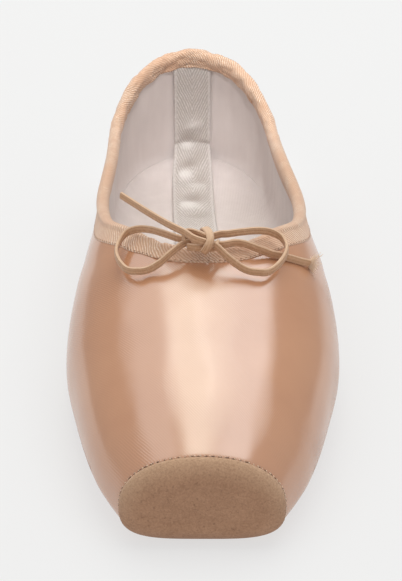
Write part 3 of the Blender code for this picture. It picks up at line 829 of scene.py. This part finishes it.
tip = {
    "wrap": 3.2 * mm,
    "columns": 72,
    "edgeSteps": 260,
    "nap": "#B58B6D",
    "napDark": "#9B7357",
    "edge": "#CBA98A",
    "speck": "#825E46",
    "paintedFloorShadow": "#80553C",
    "thread": "#8C6850",
    "stitches": {"Pitch": 1.9 * mm, "Long": 1.45 * mm, "Thick": 0.42 * mm, "Unevenness": 0.9},
    "looseThread": "#E3C6A8",
    "looseEnds": {"Pitch": 1.35 * mm, "Long": 0.85 * mm, "Thick": 0.32 * mm, "Unevenness": 0.85,
                  "Slant": 0.9, "Seed": 11},
}


def suedeFinish():
    # split suede: raised nap, fully matt, mottled from brushing; paler at the cut edge, more so higher up by
    # painted light
    add, join = newMaterial("tan_split_suede", Roughness=0.95, Sheen_Weight=0.12, Sheen_Roughness=0.7,
                            Specular_IOR_Level=0.15)
    position = add("TexCoord", output="Object")
    fibre, tuft, cloud, speck = noises(add, position, (0.55, 4, 0.7), (1.6, 3), (9, 2), (0.9, 2))
    mark = weighed(add, (fibre, 0.65), (tuft, 0.15), (cloud, 0.2))
    height = add("SeparateXYZ", position, output=2)
    edge = add("Math", add("Attribute", attribute_name="edge", output="Fac"),
               add("MapRange", fibre, 0.3, 0.7, 0.3, 0.9), operation="MULTIPLY")
    # painted shadow darkens the nap near the floor; the pale edge gains painted top light higher up
    tone = layered(add, tip["napDark"],
                   (add("MapRange", mark, 0.38, 0.62), tip["nap"]),
                   (add("MapRange", speck, 0.62, 0.72, 0.0, 0.6), tip["speck"]),
                   (add("MapRange", height, 1.5 * mm, 6 * mm, 0.55, 0.0), tip["paintedFloorShadow"]),
                   (edge, tip["edge"]))
    return join(Base_Color=tone, Normal=raised(add, (tuft, 0.3 * mm), (fibre, 0.32 * mm)))


def makeTip():
    rows = toeRows((0.04, 0.2, 0.4, 0.6, 0.8, 0.92, 1.0), 14, tip["wrap"])
    mesh = patchMesh("suedeTip", skinPatches(rows, tip["columns"]), merge=0.02 * mm)
    closeToe(mesh, 2.2 * mm)
    turnOutwards(mesh, (0, toeFlat + 20 * mm, 0.5 * platformHigh))
    along = readAttribute(mesh, "along")
    toEdge = np.clip((along - 0.45 * tip["wrap"]) / (0.55 * tip["wrap"]), 0, 1)
    # the pale edge band grows with height: painted light where the rim turns up, over the skived edge's own
    # paler colour
    paintedRimLight = np.clip((readMesh(mesh, "co")[:, 2] - 6 * mm) / (12 * mm), 0, 1)
    writeAttribute(mesh, "edge", np.clip(along / (0.9 * tip["wrap"]), 0, 1) ** 0.7 * paintedRimLight)
    moveAlongNormals(mesh, last["fitGap"] - 0.2 * mm * toEdge ** 3)
    piece = newPiece("suedeTip", mesh, suedeFinish())
    return thickenUnevenly(piece, last["tipThick"], 1, [1 - 0.45 * float(share) ** 2 for share in toEdge])


putOn(makeTip(), "suede", "suede_tip")
print("tip glued")


# stitches: one tree of nodes sets a thread along any line of edges

def stitchTree():
    tree = bpy.data.node_groups.new("stitches", "GeometryNodeTree")
    face = tree.interface
    for label, kind in (("Geometry", "Geometry"), ("Pitch", "Float"), ("Long", "Float"), ("Thick", "Float"),
                        ("Slant", "Float"), ("Unevenness", "Float"), ("Seed", "Int"), ("Thread", "Material")):
        face.new_socket(label, in_out="INPUT", socket_type="NodeSocket" + kind)
    face.new_socket("Geometry", in_out="OUTPUT", socket_type="NodeSocketGeometry")
    given = tree.nodes.new("NodeGroupInput").outputs

    def add(kind, *inputs, **settings):
        return addNode(tree, kind, *inputs, **settings)

    line = add("GeometryNodeMeshToCurve", given["Geometry"])
    points = add("GeometryNodeResampleCurve", {"Curve": line, "Length": given["Pitch"]}, mode="LENGTH")
    ball = add("GeometryNodeMeshUVSphere", 8, 6, 0.5)
    size = add("ShaderNodeCombineXYZ", given["Long"], given["Thick"], given["Thick"])
    stitch = add("GeometryNodeTransform", {"Geometry": ball, "Scale": size})
    facing = add("FunctionNodeAlignRotationToVector", {"Vector": add("GeometryNodeInputTangent")}, axis="X")
    wobble = add("FunctionNodeRandomValue", {"Seed": given["Seed"]}, output=1, data_type="FLOAT")
    spread = add("ShaderNodeMath", wobble, 0.5, operation="SUBTRACT")
    swing = add("ShaderNodeMath", spread, given["Unevenness"], given["Slant"], operation="MULTIPLY_ADD")
    tilt = add("ShaderNodeCombineXYZ", {2: swing})
    turned = add("FunctionNodeRotateRotation", {"Rotation": facing, "Rotate By": tilt},
                 rotation_space="LOCAL")
    shorter = add("ShaderNodeMath", wobble, given["Unevenness"], operation="MULTIPLY")
    length = add("ShaderNodeMath", 1.1, shorter, operation="SUBTRACT", use_clamp=True)
    placed = add("GeometryNodeInstanceOnPoints", {"Points": points, "Instance": stitch, "Rotation": turned,
                                                  "Scale": add("ShaderNodeCombineXYZ", length, 1.0, 1.0)})
    real = add("GeometryNodeRealizeInstances", placed)
    add("NodeGroupOutput", add("GeometryNodeSetMaterial", {"Geometry": real, "Material": given["Thread"]}))
    return tree


def threadFinish(name, colour):
    # twisted polyester thread: slightly glossy, a ply every 0.35 mm
    add, join = newMaterial(name, Roughness=0.55, Sheen_Weight=0.2)
    ply, = noises(add, add("TexCoord", output="Object"), (0.35, 2))
    full = hexColour(colour)
    dark = [0.75 * c for c in full[:3]] + [1.0]
    # the ply's low places are painted darker as shade
    tone = add("Mix", {0: ply, 6: dark, 7: full}, output=2, data_type="RGBA")
    return join(Base_Color=tone, Normal=raised(add, (ply, 0.06 * mm)))


stitching = stitchTree()


def stitchAlong(name, line, slotName, thread, sizes):  # all the way round a closed line
    mesh = bpy.data.meshes.new(name)
    mesh.from_pydata([tuple(p) for p in line], [(k, (k + 1) % len(line)) for k in range(len(line))], [])
    piece = addObject(name, mesh)
    modifier = piece.modifiers.new("stitches", "NODES")
    modifier.node_group = stitching
    wanted = {"Thread": threadFinish(*thread), "Slant": 0.0, "Seed": 3, **sizes}
    for socket in stitching.interface.items_tree:
        if socket.in_out == "INPUT" and socket.name in wanted:
            modifier[socket.identifier] = wanted[socket.name]
    settle(piece)
    piece.data.shade_smooth()
    return putOn(piece, slotName)


def tipEdge(beyond, raised):
    reach = tip["wrap"] + beyond
    turn = math.acos(max(1 - reach / last["rimRadius"], 0.0))
    section = platformAt(1.0, last["rimRadius"] * (1 - math.sin(turn)), reach)
    half = sectionLine(section, np.linspace(-quarterTurn, quarterTurn, 400))
    loop = np.concatenate([toShoe(1, half), toShoe(-1, half)[::-1][1:-1]])
    return [onSkin(p, raised)[0] for p in evenly(np.concatenate([loop, loop[:1]]), tip["edgeSteps"])[:-1]]


stitchAlong("tipStitches", tipEdge(0.35 * mm, 0.16 * mm), "suede", ("tip_thread", tip["thread"]),
            tip["stitches"])
stitchAlong("tipFlecks", tipEdge(0.3 * mm, 0.34 * mm), "suede", ("tip_loose_thread", tip["looseThread"]),
            tip["looseEnds"])
print("tip stitched")


# leather outsole and the sock inside

outsole = {
    "steps": 150,
    "endGap": 0.15 * mm,
    "edgeLift": 0.5 * mm,
    "bulge": 0.25 * mm,
    "base": "#B7987A",
    "cloud": "#A5866A",
    "scuff": "#CDB398",
    "dark": "#8F7055",
}
sock = {
    "thick": 1.6 * mm,
    "start": 10.6 * mm,
    "share": 0.95,
}


def underHeight(along, across, rise=0.0):
    section = stationAt(min(along, quarterEnd))
    beyond = max(along - section["centre"], 0.0) * section["half"] / last["heelDepth"]
    share = min(math.hypot(across, beyond) / (section["half"] - rise), 0.999)
    sine = (1 - share ** section["under"]) ** (1 / section["under"])
    return section["belly"] - (section["belly"] - section["low"] - rise) * sine


def plateMesh(name, half, start, end, bottom, top, marks, bulge):  # closed plate lofted along the foot
    marks = [-m for m in reversed(marks[1:])] + list(marks)
    rings, flats = [], []
    steps = outsole["steps"]
    for k in range(steps + 1):
        share = 0.5 - 0.5 * math.cos(math.pi * k / steps)
        along = start + (end - start) * (0.6 * share + 0.4 * k / steps)
        along = min(max(along, start + outsole["endGap"]), end - outsole["endGap"])
        width = half(along)
        over = [(width * m, along, top(along, width * m, abs(m))) for m in marks]
        below = [(width * m, along, bottom(along, width * m, abs(m))) for m in marks]
        high, low = over[-1][2], below[-1][2]
        rim = [(width + bulge * math.sin(math.pi * q), along, high + (low - high) * q)
               for q in (0.25, 0.5, 0.75)]
        ring = [*over, *rim, *below[::-1], *[(-x, y, z) for x, y, z in rim[::-1]], over[0]]
        rings.append(toShoe(1, ring))
        flats.append([(x, y) for x, y, z in ring])
    ends = [rings[k].mean(axis=0) for k in (0, -1)]
    return patchMesh(name, [tubePatch(np.array(rings), np.array(flats), *ends)])


def soleFinish():
    # vegetable-tanned split leather: matt, pored, scuffed pale lengthwise, burnished darker at the edge
    add, join = newMaterial("tanned_sole_leather", Roughness=0.78, Specular_IOR_Level=0.35)
    position = add("TexCoord", output="Object")
    pore = add("TexVoronoi", {"Vector": position, "Scale": 1 / (0.9 * mm)}, output="Distance")
    lengthwise = add("Mapping", {0: position, 3: (1.0, 0.22, 1.0)}, vector_type="POINT")
    scuff, = noises(add, lengthwise, (2.6, 4, 0.6))
    cloud, = noises(add, position, (18, 3))
    tone = layered(add, outsole["base"],
                   (add("MapRange", cloud, 0.35, 0.7), outsole["cloud"]),
                   (add("MapRange", scuff, 0.52, 0.72, 0.0, 0.5), outsole["scuff"]),
                   (add("Attribute", attribute_name="edge", output="Fac"), outsole["dark"]))
    return join(Base_Color=tone, Normal=raised(add, (scuff, 0.12 * mm), (pore, 0.1 * mm)))


def makeOutsole():
    def top(along, across, mark):
        return underHeight(along, across) - 1.5 * last["fitGap"]

    def bottom(along, across, mark):
        flat = seatHeight(along) - last["fitGap"] - last["soleThick"]
        skive = 0.3 * last["soleThick"] * smooth(1 - (along - sole["front"]) / (0.5 * sole["frontRound"]))
        return max(flat, 0.0) + skive + outsole["edgeLift"] * max(0.0, (mark - 0.86) / 0.14) ** 2

    marks = (0.0, 0.2, 0.4, 0.6, 0.74, 0.84, 0.9, 0.94, 0.97, 1.0)
    mesh = plateMesh("leatherOutsole", soleHalf, sole["front"], lastLength - sole["back"], bottom, top, marks,
                     outsole["bulge"])
    across, along = readAttribute(mesh, "across"), readAttribute(mesh, "along")
    room = np.array([soleHalf(float(a)) for a in along]) - np.abs(across)
    writeAttribute(mesh, "edge", np.clip(1 - room / (1.6 * mm), 0, 1))
    return newPiece("leatherOutsole", mesh, soleFinish())


def sockTop(along, across, mark):  # its skived edge melts into the lining of the wall
    skived = smooth((mark - 0.35) / 0.65)
    rise = 3 * last["fitGap"] + sock["thick"]
    return underHeight(along, across, wallAt(along)) + rise * (1 - skived) - 0.25 * mm * skived


def makeSock():
    end = lastLength - wallAt(lastLength) - 1.2 * mm

    def half(along):
        section = stationAt(min(along, quarterEnd))
        front = roundedEnd(along - sock["start"], 0.25 * ball)
        beyond = max(along - section["centre"], 0.0) / (end - quarterEnd)
        return (sock["share"] * section["half"] - 1.5 * mm) * front * math.sqrt(max(1 - beyond ** 2, 0.0))

    def bottom(along, across, mark):
        return sockTop(along, across, mark) - 0.2 * mm - 1.1 * mm * (1 - smooth((mark - 0.35) / 0.65))

    marks = (0.0, 0.15, 0.3, 0.45, 0.6, 0.7, 0.8, 0.88, 0.94, 0.98, 1.0)
    mesh = plateMesh("sockLining", half, sock["start"], end, bottom, sockTop, marks, 0.0)
    return newPiece("sockLining", mesh, liningFinish("cotton_sock"))


putOn(makeOutsole(), "sole_leather", "outsole")
putOn(makeSock(), "insole_cotton", "insole")
print("soled")


# twill binding folded over the collar, its drawstring channel a soft roll

tape = {
    "thick": 0.7 * mm,
    "gap": 0.4 * mm,
    "outerLeg": 4.2 * mm,
    "innerLeg": 4.0 * mm,
    "roll": 2.1 * mm,
    "steps": 760,
    "ribPitch": 0.8 * mm,
    "base": "#DFBEA3",
    "light": "#FFEEDD",
    "deep": "#CCA184",
    "thread": "#A9795A",
    "stitches": {"Pitch": 1.7 * mm, "Long": 0.8 * mm, "Thick": 0.24 * mm, "Unevenness": 0.3, "Seed": 5},
}
# where the tape is drawn together: middle, reach to each side, folds' size along and across, height, in mm
gathers = (
    ("throat", -4, 13, 1.7, 4.5, 0.6),
    ("heel", -6, 32, 4.5, 1.4, 0.8),
)
tapeProfile = (  # 1 outside or -1 inside the wall, share of the way out to its seat, distance down
    (1, 0.52, 1.00 * tape["outerLeg"]),
    (1, 0.72, 0.62 * tape["outerLeg"]),
    (1, 1.06, 0.16 * tape["outerLeg"]),
    (1, 1.12, -0.40 * tape["roll"]),
    (1, 0.50, -1.00 * tape["roll"]),
    (-1, 0.50, -1.00 * tape["roll"]),
    (-1, 1.12, -0.40 * tape["roll"]),
    (-1, 1.10, 0.20 * tape["innerLeg"]),
    (-1, 0.84, 0.70 * tape["innerLeg"]),
    (-1, 0.80, 1.00 * tape["innerLeg"]),
)


def collarRing(count):
    ends = {1: [], -1: []}
    for section, start, end, along in upperRows():
        if section["centre"] >= last["vampLength"] - 1e-6:
            point = sectionLine(section, np.array([end]))[0]
            for side in ends:
                ends[side].append(toShoe(side, point)[0])
    line = np.array(ends[1] + ends[-1][-2:0:-1] + ends[1][:1])
    return evenly(line, count + 1)[:-1]


def twillFinish():
    # cotton twill tape: diagonal cords with painted glints on their crests, painted shade between them, a
    # little fuzz
    add, join = newMaterial("peach_twill_tape", Roughness=0.75, Sheen_Weight=0.3, Sheen_Roughness=0.5,
                            Specular_IOR_Level=0.3)
    position, across, along = placeAndMap(add)
    wander, patch, broken = noises(add, position, (5, 2), (9, 2), (0.6, 2))
    slanted = weighed(add, (along, 0.72), (across, 0.69), (wander, 1.2 * mm))
    cord = add("Math", ribs(add, slanted, tape["ribPitch"]), add("MapRange", patch, 0.4, 0.62, 0.45, 1.0),
               operation="MULTIPLY")
    glint = add("Math", add("MapRange", cord, 0.6, 1.0, 0.0, 0.8), add("MapRange", broken, 0.4, 0.65),
                operation="MULTIPLY")
    # painted shade darkens the cords' troughs; the glints are painted highlights
    tone = layered(add, tape["deep"],
                   (add("MapRange", cord, 0.05, 0.65), tape["base"]),
                   (glint, tape["light"]))
    height = weighed(add, (cord, 0.8), (broken, 0.2))
    return join(Base_Color=tone, Normal=raised(add, (height, 0.22 * mm)))


def makeBinding():
    line = collarRing(tape["steps"])
    count = len(line)
    lengths = travelled(np.concatenate([line, line[:1]]))
    across = throughPoints([(face * share, down, 0) for face, share, down in tapeProfile], 3)
    rows, maps = [], []
    tapeAcross = travelled(across * np.array([2 * mm, 1, 1]))
    for k, point in enumerate(line):
        point = Vector(point)
        tangent = Vector(line[(k + 1) % count] - line[k - 1]).normalized()
        normal = skinTree.find_nearest(point)[1]
        normal = (normal - tangent * normal.dot(tangent)).normalized()
        down = tangent.cross(normal).normalized()
        middle = -0.5 * wallAt(point.y - toeFlat)
        seat = tape["gap"] + 0.5 * tape["thick"] - middle
        row = []
        # beside the throat the leg runs lower and flatter
        corner = smooth((abs(point.x) - 12 * mm) / (14 * mm))
        for share, drop, _ in across:
            if share > 0 and drop > 0:
                drop, share = drop * (1 + 0.28 * corner), share * (1 - 0.3 * corner)
            offset = middle + seat * share
            if drop > 0:
                foot, faceNormal, *_ = skinTree.find_nearest(point + down * drop)
                row.append(foot + faceNormal * offset)
            else:
                row.append(point + down * drop + normal * offset)
        rows.append([tuple(p) for p in row])
        maps.append([(a, lengths[k]) for a in tapeAcross])
    rows.append(rows[0])
    maps.append([(a, lengths[-1]) for a in tapeAcross])
    mesh = patchMesh("twillBinding", [{"points": np.array(rows), "map": np.array(maps)}])
    moveAlongNormals(mesh, gatherHeights(readMesh(mesh, "co"), readAttribute(mesh, "across"),
                                         readAttribute(mesh, "along")))
    lift = 0.5 * tape["thick"] + 0.06 * mm
    seam = [Vector(row[1]) + onSkin(row[1], 0.0)[1] * lift for row in rows[:-1]]
    piece = newPiece("twillBinding", mesh, twillFinish())
    return thicken(piece, tape["thick"], 0), seam


def gatherHeights(points, across, along):  # uneven pleats that cross the tape
    total = np.zeros(len(points))
    for end, middle, reach, long, wide, height in gathers:
        near = points[:, 1] < throatAt.y + 25 * mm if end == "throat" else points[:, 1] > 0.3 * lastLength
        windows = np.exp(-((points[:, 0] / mm - middle) / reach) ** 4) * near
        for k in np.flatnonzero(windows > 0.01):
            a, b = float(along[k]) / mm, float(across[k]) / mm
            pleat = noise.noise(Vector((a / long, b / wide, 3.7)))
            crumple = noise.noise(Vector((a / 1.5, b / 1.3, 9.1)))
            total[k] += windows[k] * height * mm * (pleat + 0.4 * crumple)
    return total


binding, bindingSeam = makeBinding()
putOn(binding, "twill_binding", "binding")
stitchAlong("bindingStitches", bindingSeam, "twill_binding", ("binding_thread", tape["thread"]),
            tape["stitches"])
print("collar bound")


# herringbone tape over the back seam inside

seamTape = {
    "width": 15.5 * mm,
    "thick": 0.8 * mm,
    "reach": 84 * mm,
    "bend": 14 * mm,           # over the seat, where it turns forward
    "turn": 5 * mm,
    "strips": 9,
    "downRows": 9,
    "forwardRows": 12,
    "columns": 25,
    "rows": 190,
    "ribPitch": 0.95 * mm,
    "base": "#C9C1BC",
    "light": "#E6E1DD",
    "deep": "#B3AAA3",
    "hollow": "#A2968E",
}


def herringboneFinish():
    # bleached cotton herringbone: two columns of steep ribs meeting in the middle, plain woven edges
    add, join = newMaterial("white_herringbone_tape", Roughness=0.82, Sheen_Weight=0.2,
                            Specular_IOR_Level=0.3)
    position, across, along = placeAndMap(add)
    wander, broken = noises(add, position, (5, 2), (0.8, 3))
    fromMiddle = add("Math", across, operation="ABSOLUTE")
    slanted = weighed(add, (along, 0.4), (fromMiddle, 0.92), (wander, 1.2 * mm))
    selvedge = add("MapRange", fromMiddle, 6.4 * mm, 7.0 * mm, 0.0, 0.7)
    rib = add("Math", ribs(add, slanted, seamTape["ribPitch"]), selvedge, operation="MAXIMUM")
    # rib crests paler in patches
    paleCrests = add("Math", rib, add("MapRange", broken, 0.4, 0.7, 0.0, 0.6), operation="MULTIPLY")
    crease = add("Attribute", attribute_name="crease", output="Fac")
    # the rib troughs and the wrinkles' hollows are painted darker as shade, the wrinkles' ridges lighter as
    # painted light
    tone = layered(add, seamTape["deep"],
                   (add("MapRange", rib, 0.0, 0.6), seamTape["base"]),
                   (paleCrests, seamTape["light"]),
                   (add("MapRange", crease, 0.0, -1.0, 0.0, 0.75), seamTape["hollow"]),
                   (add("MapRange", crease, 0.2, 1.0, 0.0, 0.8), seamTape["light"]))
    return join(Base_Color=tone, Normal=raised(add, (rib, 0.11 * mm)))


def makeSeamTape():
    wall = last["quarterWall"] + last["fitGap"] + 0.5 * seamTape["thick"]
    back = heelAt(quarterTurn)
    bend = seatHeight(back["centre"]) + seamTape["bend"]
    shares = np.linspace(-0.5, 0.5, seamTape["strips"])
    rows = []
    for down in np.linspace(0, 1, seamTape["downRows"]):
        row = []
        for across in shares:
            lean = math.asin(abs(across) * seamTape["width"] / (0.7 * back["half"]))
            edge = collarHeight(back["centre"] + last["heelDepth"] * math.cos(lean))
            top = edge - tape["innerLeg"] + 1.5 * mm   # its end is tucked under the binding
            height = top + (bend - top) * down
            share = (height - back["belly"]) / (back["crown"] - back["belly"])
            angle = math.copysign(math.asin(abs(share) ** (0.5 * back["over"])), share)
            half = back["half"] * math.cos(angle) ** (2 / back["over"])
            turn = quarterTurn - math.asin(abs(across) * seamTape["width"] / half)
            point = toShoe(-1 if across < 0 else 1, sectionLine(heelAt(turn), np.array([angle]))[0])[0]
            row.append(np.array(onSkin(point, -last["quarterWall"] if down == 0 else -wall)[0]))
        rows.append(row)
    start = lastLength - 0.24 * last["heelDepth"] - seamTape["turn"]
    for forward in np.linspace(0, 1, seamTape["forwardRows"]):
        along = start - (seamTape["reach"] - seamTape["turn"]) * forward
        row = []
        for across in shares:
            x = across * seamTape["width"]
            height = sockTop(along, x, 0.0) + last["fitGap"] + 0.5 * seamTape["thick"]
            row.append(toShoe(1, (x, along, height))[0])
        rows.append(row)
    rows = np.array(rows)
    lines = np.stack([evenly(throughPoints(rows[:, k], 10), seamTape["rows"])
                      for k in range(len(shares))], axis=1)
    wide = np.linspace(-0.5, 0.5, seamTape["columns"])
    points = np.stack([np.stack([np.interp(wide, shares, row[:, k]) for k in range(3)], axis=-1)
                       for row in lines])
    lengths = travelled(points[:, seamTape["columns"] // 2])
    grid = np.stack(np.meshgrid(wide * seamTape["width"], lengths), axis=-1)
    mesh = patchMesh("seamTape", [{"points": points, "map": grid}], recalculate=False)
    mesh.update()
    if mesh.polygons[0].normal.y > 0:
        mesh.flip_normals()
        mesh.update()
    across, along = readAttribute(mesh, "across"), readAttribute(mesh, "along")
    heights, crease = tapeWrinkles(across, along)
    # the crease values carry painted shade into the troughs and painted light onto the ridges
    writeAttribute(mesh, "crease", crease)
    moveAlongNormals(mesh, heights)
    piece = newPiece("seamTape", mesh, herringboneFinish())
    return thicken(piece, seamTape["thick"], 0)


# wrinkles in the tape: distance down it, across, half length, half width, slant, height, in mm
wrinkles = (
    (27, 0.5, 2.2, 5.0, 20, 0.7),
    (32, -2.0, 2.2, 3.6, 0, -0.9),
    (36.5, -2.5, 2.2, 4.0, -10, 1.0),
    (40, 2.5, 2.5, 3.0, 15, -0.5),
    (44.5, -1.5, 2.2, 3.8, 20, -1.0),
    (50, -3.0, 3.0, 4.0, -10, 1.1),
    (52, 3.0, 3.5, 3.0, 10, -0.7),
    (57, 2.0, 3.0, 4.5, 20, 0.7),
    (65.5, 0.5, 3.6, 4.2, 25, -1.0),
    (73, -2.0, 4.0, 5.0, -12, 1.1),
    (81, 1.5, 3.5, 4.5, 10, -0.6),
)


def tapeWrinkles(across, along):  # heights, and how strongly each place is creased
    total = softFolds(wrinkles, along, across)
    fromEdge = 0.5 * seamTape["width"] - np.abs(across)
    held = np.clip((fromEdge - 1.2 * mm) / (2 * mm), 0, 1)
    selvedge = 0.22 * mm * np.clip(1 - np.abs(fromEdge - 0.7 * mm) / (0.8 * mm), 0, 1)
    return np.maximum(total * held, -0.3 * mm) + selvedge, total * held / mm


putOn(makeSeamTape(), "herringbone_tape", "back_tape")
print("seam taped")


# floor and light

studio = {
    "floorTone": 0.2,
    "floorGlow": 0.64,           # a lit table: shadows on it stay faint, as in the photograph
    "skyInFront": 0.72,
    "skyBehind": 0.36,
    "distance": 1.25,
    "collarSpot": 46,            # a narrow beam on the heel's binding and lining
    "spotDegrees": 3.5,
    "spotFrom": (0.06, -0.75, 1.1),
    "spotTo": (-0.002, 0.110, 0.021),
}
# degrees aside, elevation behind the shoe and splay, width, depth, brightness, colour
softboxes = (
    ("key", -3.2, 68, 2, 0.385, 1.34, 3.15, (1.0, 1.0, 0.9)),
    ("right", 18.2, 68, 9, 0.59, 1.34, 2.3, (1.0, 1.0, 1.0)),
    ("left", -25.4, 68, -12, 0.58, 1.34, 1.06, (1.0, 1.0, 1.0)),
)


def makeFloor():
    add, join = newMaterial("pale_floor", Roughness=0.9, Specular_IOR_Level=0.1, Emission_Color=(1, 1, 1, 1),
                            Emission_Strength=studio["floorGlow"], Base_Color=[studio["floorTone"]] * 3 + [1])
    mesh = bpy.data.meshes.new("floor")
    shape = bmesh.new()
    bmesh.ops.create_grid(shape, x_segments=1, y_segments=1, size=6)
    shape.to_mesh(mesh)
    shape.free()
    newPiece("floor", mesh, join())


def addLamp(name, kind, location, target, watts, **settings):
    light = bpy.data.lights.new(name, kind)
    light.energy = watts
    for setting, value in settings.items():
        setattr(light, setting, value)
    lamp = addObject(name, light)
    lamp.location = location
    lamp.rotation_euler = (Vector(target) - Vector(location)).to_track_quat("-Z", "Y").to_euler()
    return lamp


def makeSoftbox(name, aside, elevation, splay, width, depth, brightness, colour):
    # long over the shoe, square to its own direction
    aside, elevation, splay = math.radians(aside), math.radians(elevation), math.radians(splay)
    direction = Vector((math.sin(aside), math.cos(aside) * math.cos(elevation),
                        math.cos(aside) * math.sin(elevation)))
    target = Vector((0, 0.5 * toeFlat, 0.5 * instep))
    watts = brightness * math.pi * width * depth
    lamp = addLamp(name, "AREA", target + direction * studio["distance"], target, watts,
                   shape="RECTANGLE", size=width, size_y=depth, color=colour)
    along = Vector((0, -math.sin(elevation), math.cos(elevation)))
    along = along * math.cos(splay) - along.cross(direction) * math.sin(splay)
    lamp.rotation_euler = Matrix((along.cross(direction), along, direction)).transposed().to_euler()


def makeSky():  # soft surround, brighter in front of the toe than behind the heel
    world = bpy.data.worlds.new("studio")
    bpy.context.scene.world = world
    world.use_nodes = True
    tree = world.node_tree
    direction = addNode(tree, "ShaderNodeTexCoord", output="Generated")
    behind = addNode(tree, "ShaderNodeSeparateXYZ", direction, output=1)
    level = addNode(tree, "ShaderNodeMapRange", behind, -0.6, 0.6, studio["skyInFront"], studio["skyBehind"])
    background = tree.nodes["Background"]
    background.inputs[0].default_value = (1, 1, 1, 1)
    tree.links.new(level, background.inputs[1])


makeFloor()
makeSky()
for settings in softboxes:
    makeSoftbox(*settings)
addLamp("collarSpot", "SPOT", studio["spotFrom"], studio["spotTo"], studio["collarSpot"],
        spot_size=math.radians(studio["spotDegrees"]), spot_blend=1.0, shadow_soft_size=0.02)
bpy.context.scene.view_settings.view_transform = "Standard"
bpy.context.scene.view_settings.look = "None"
print("lit")
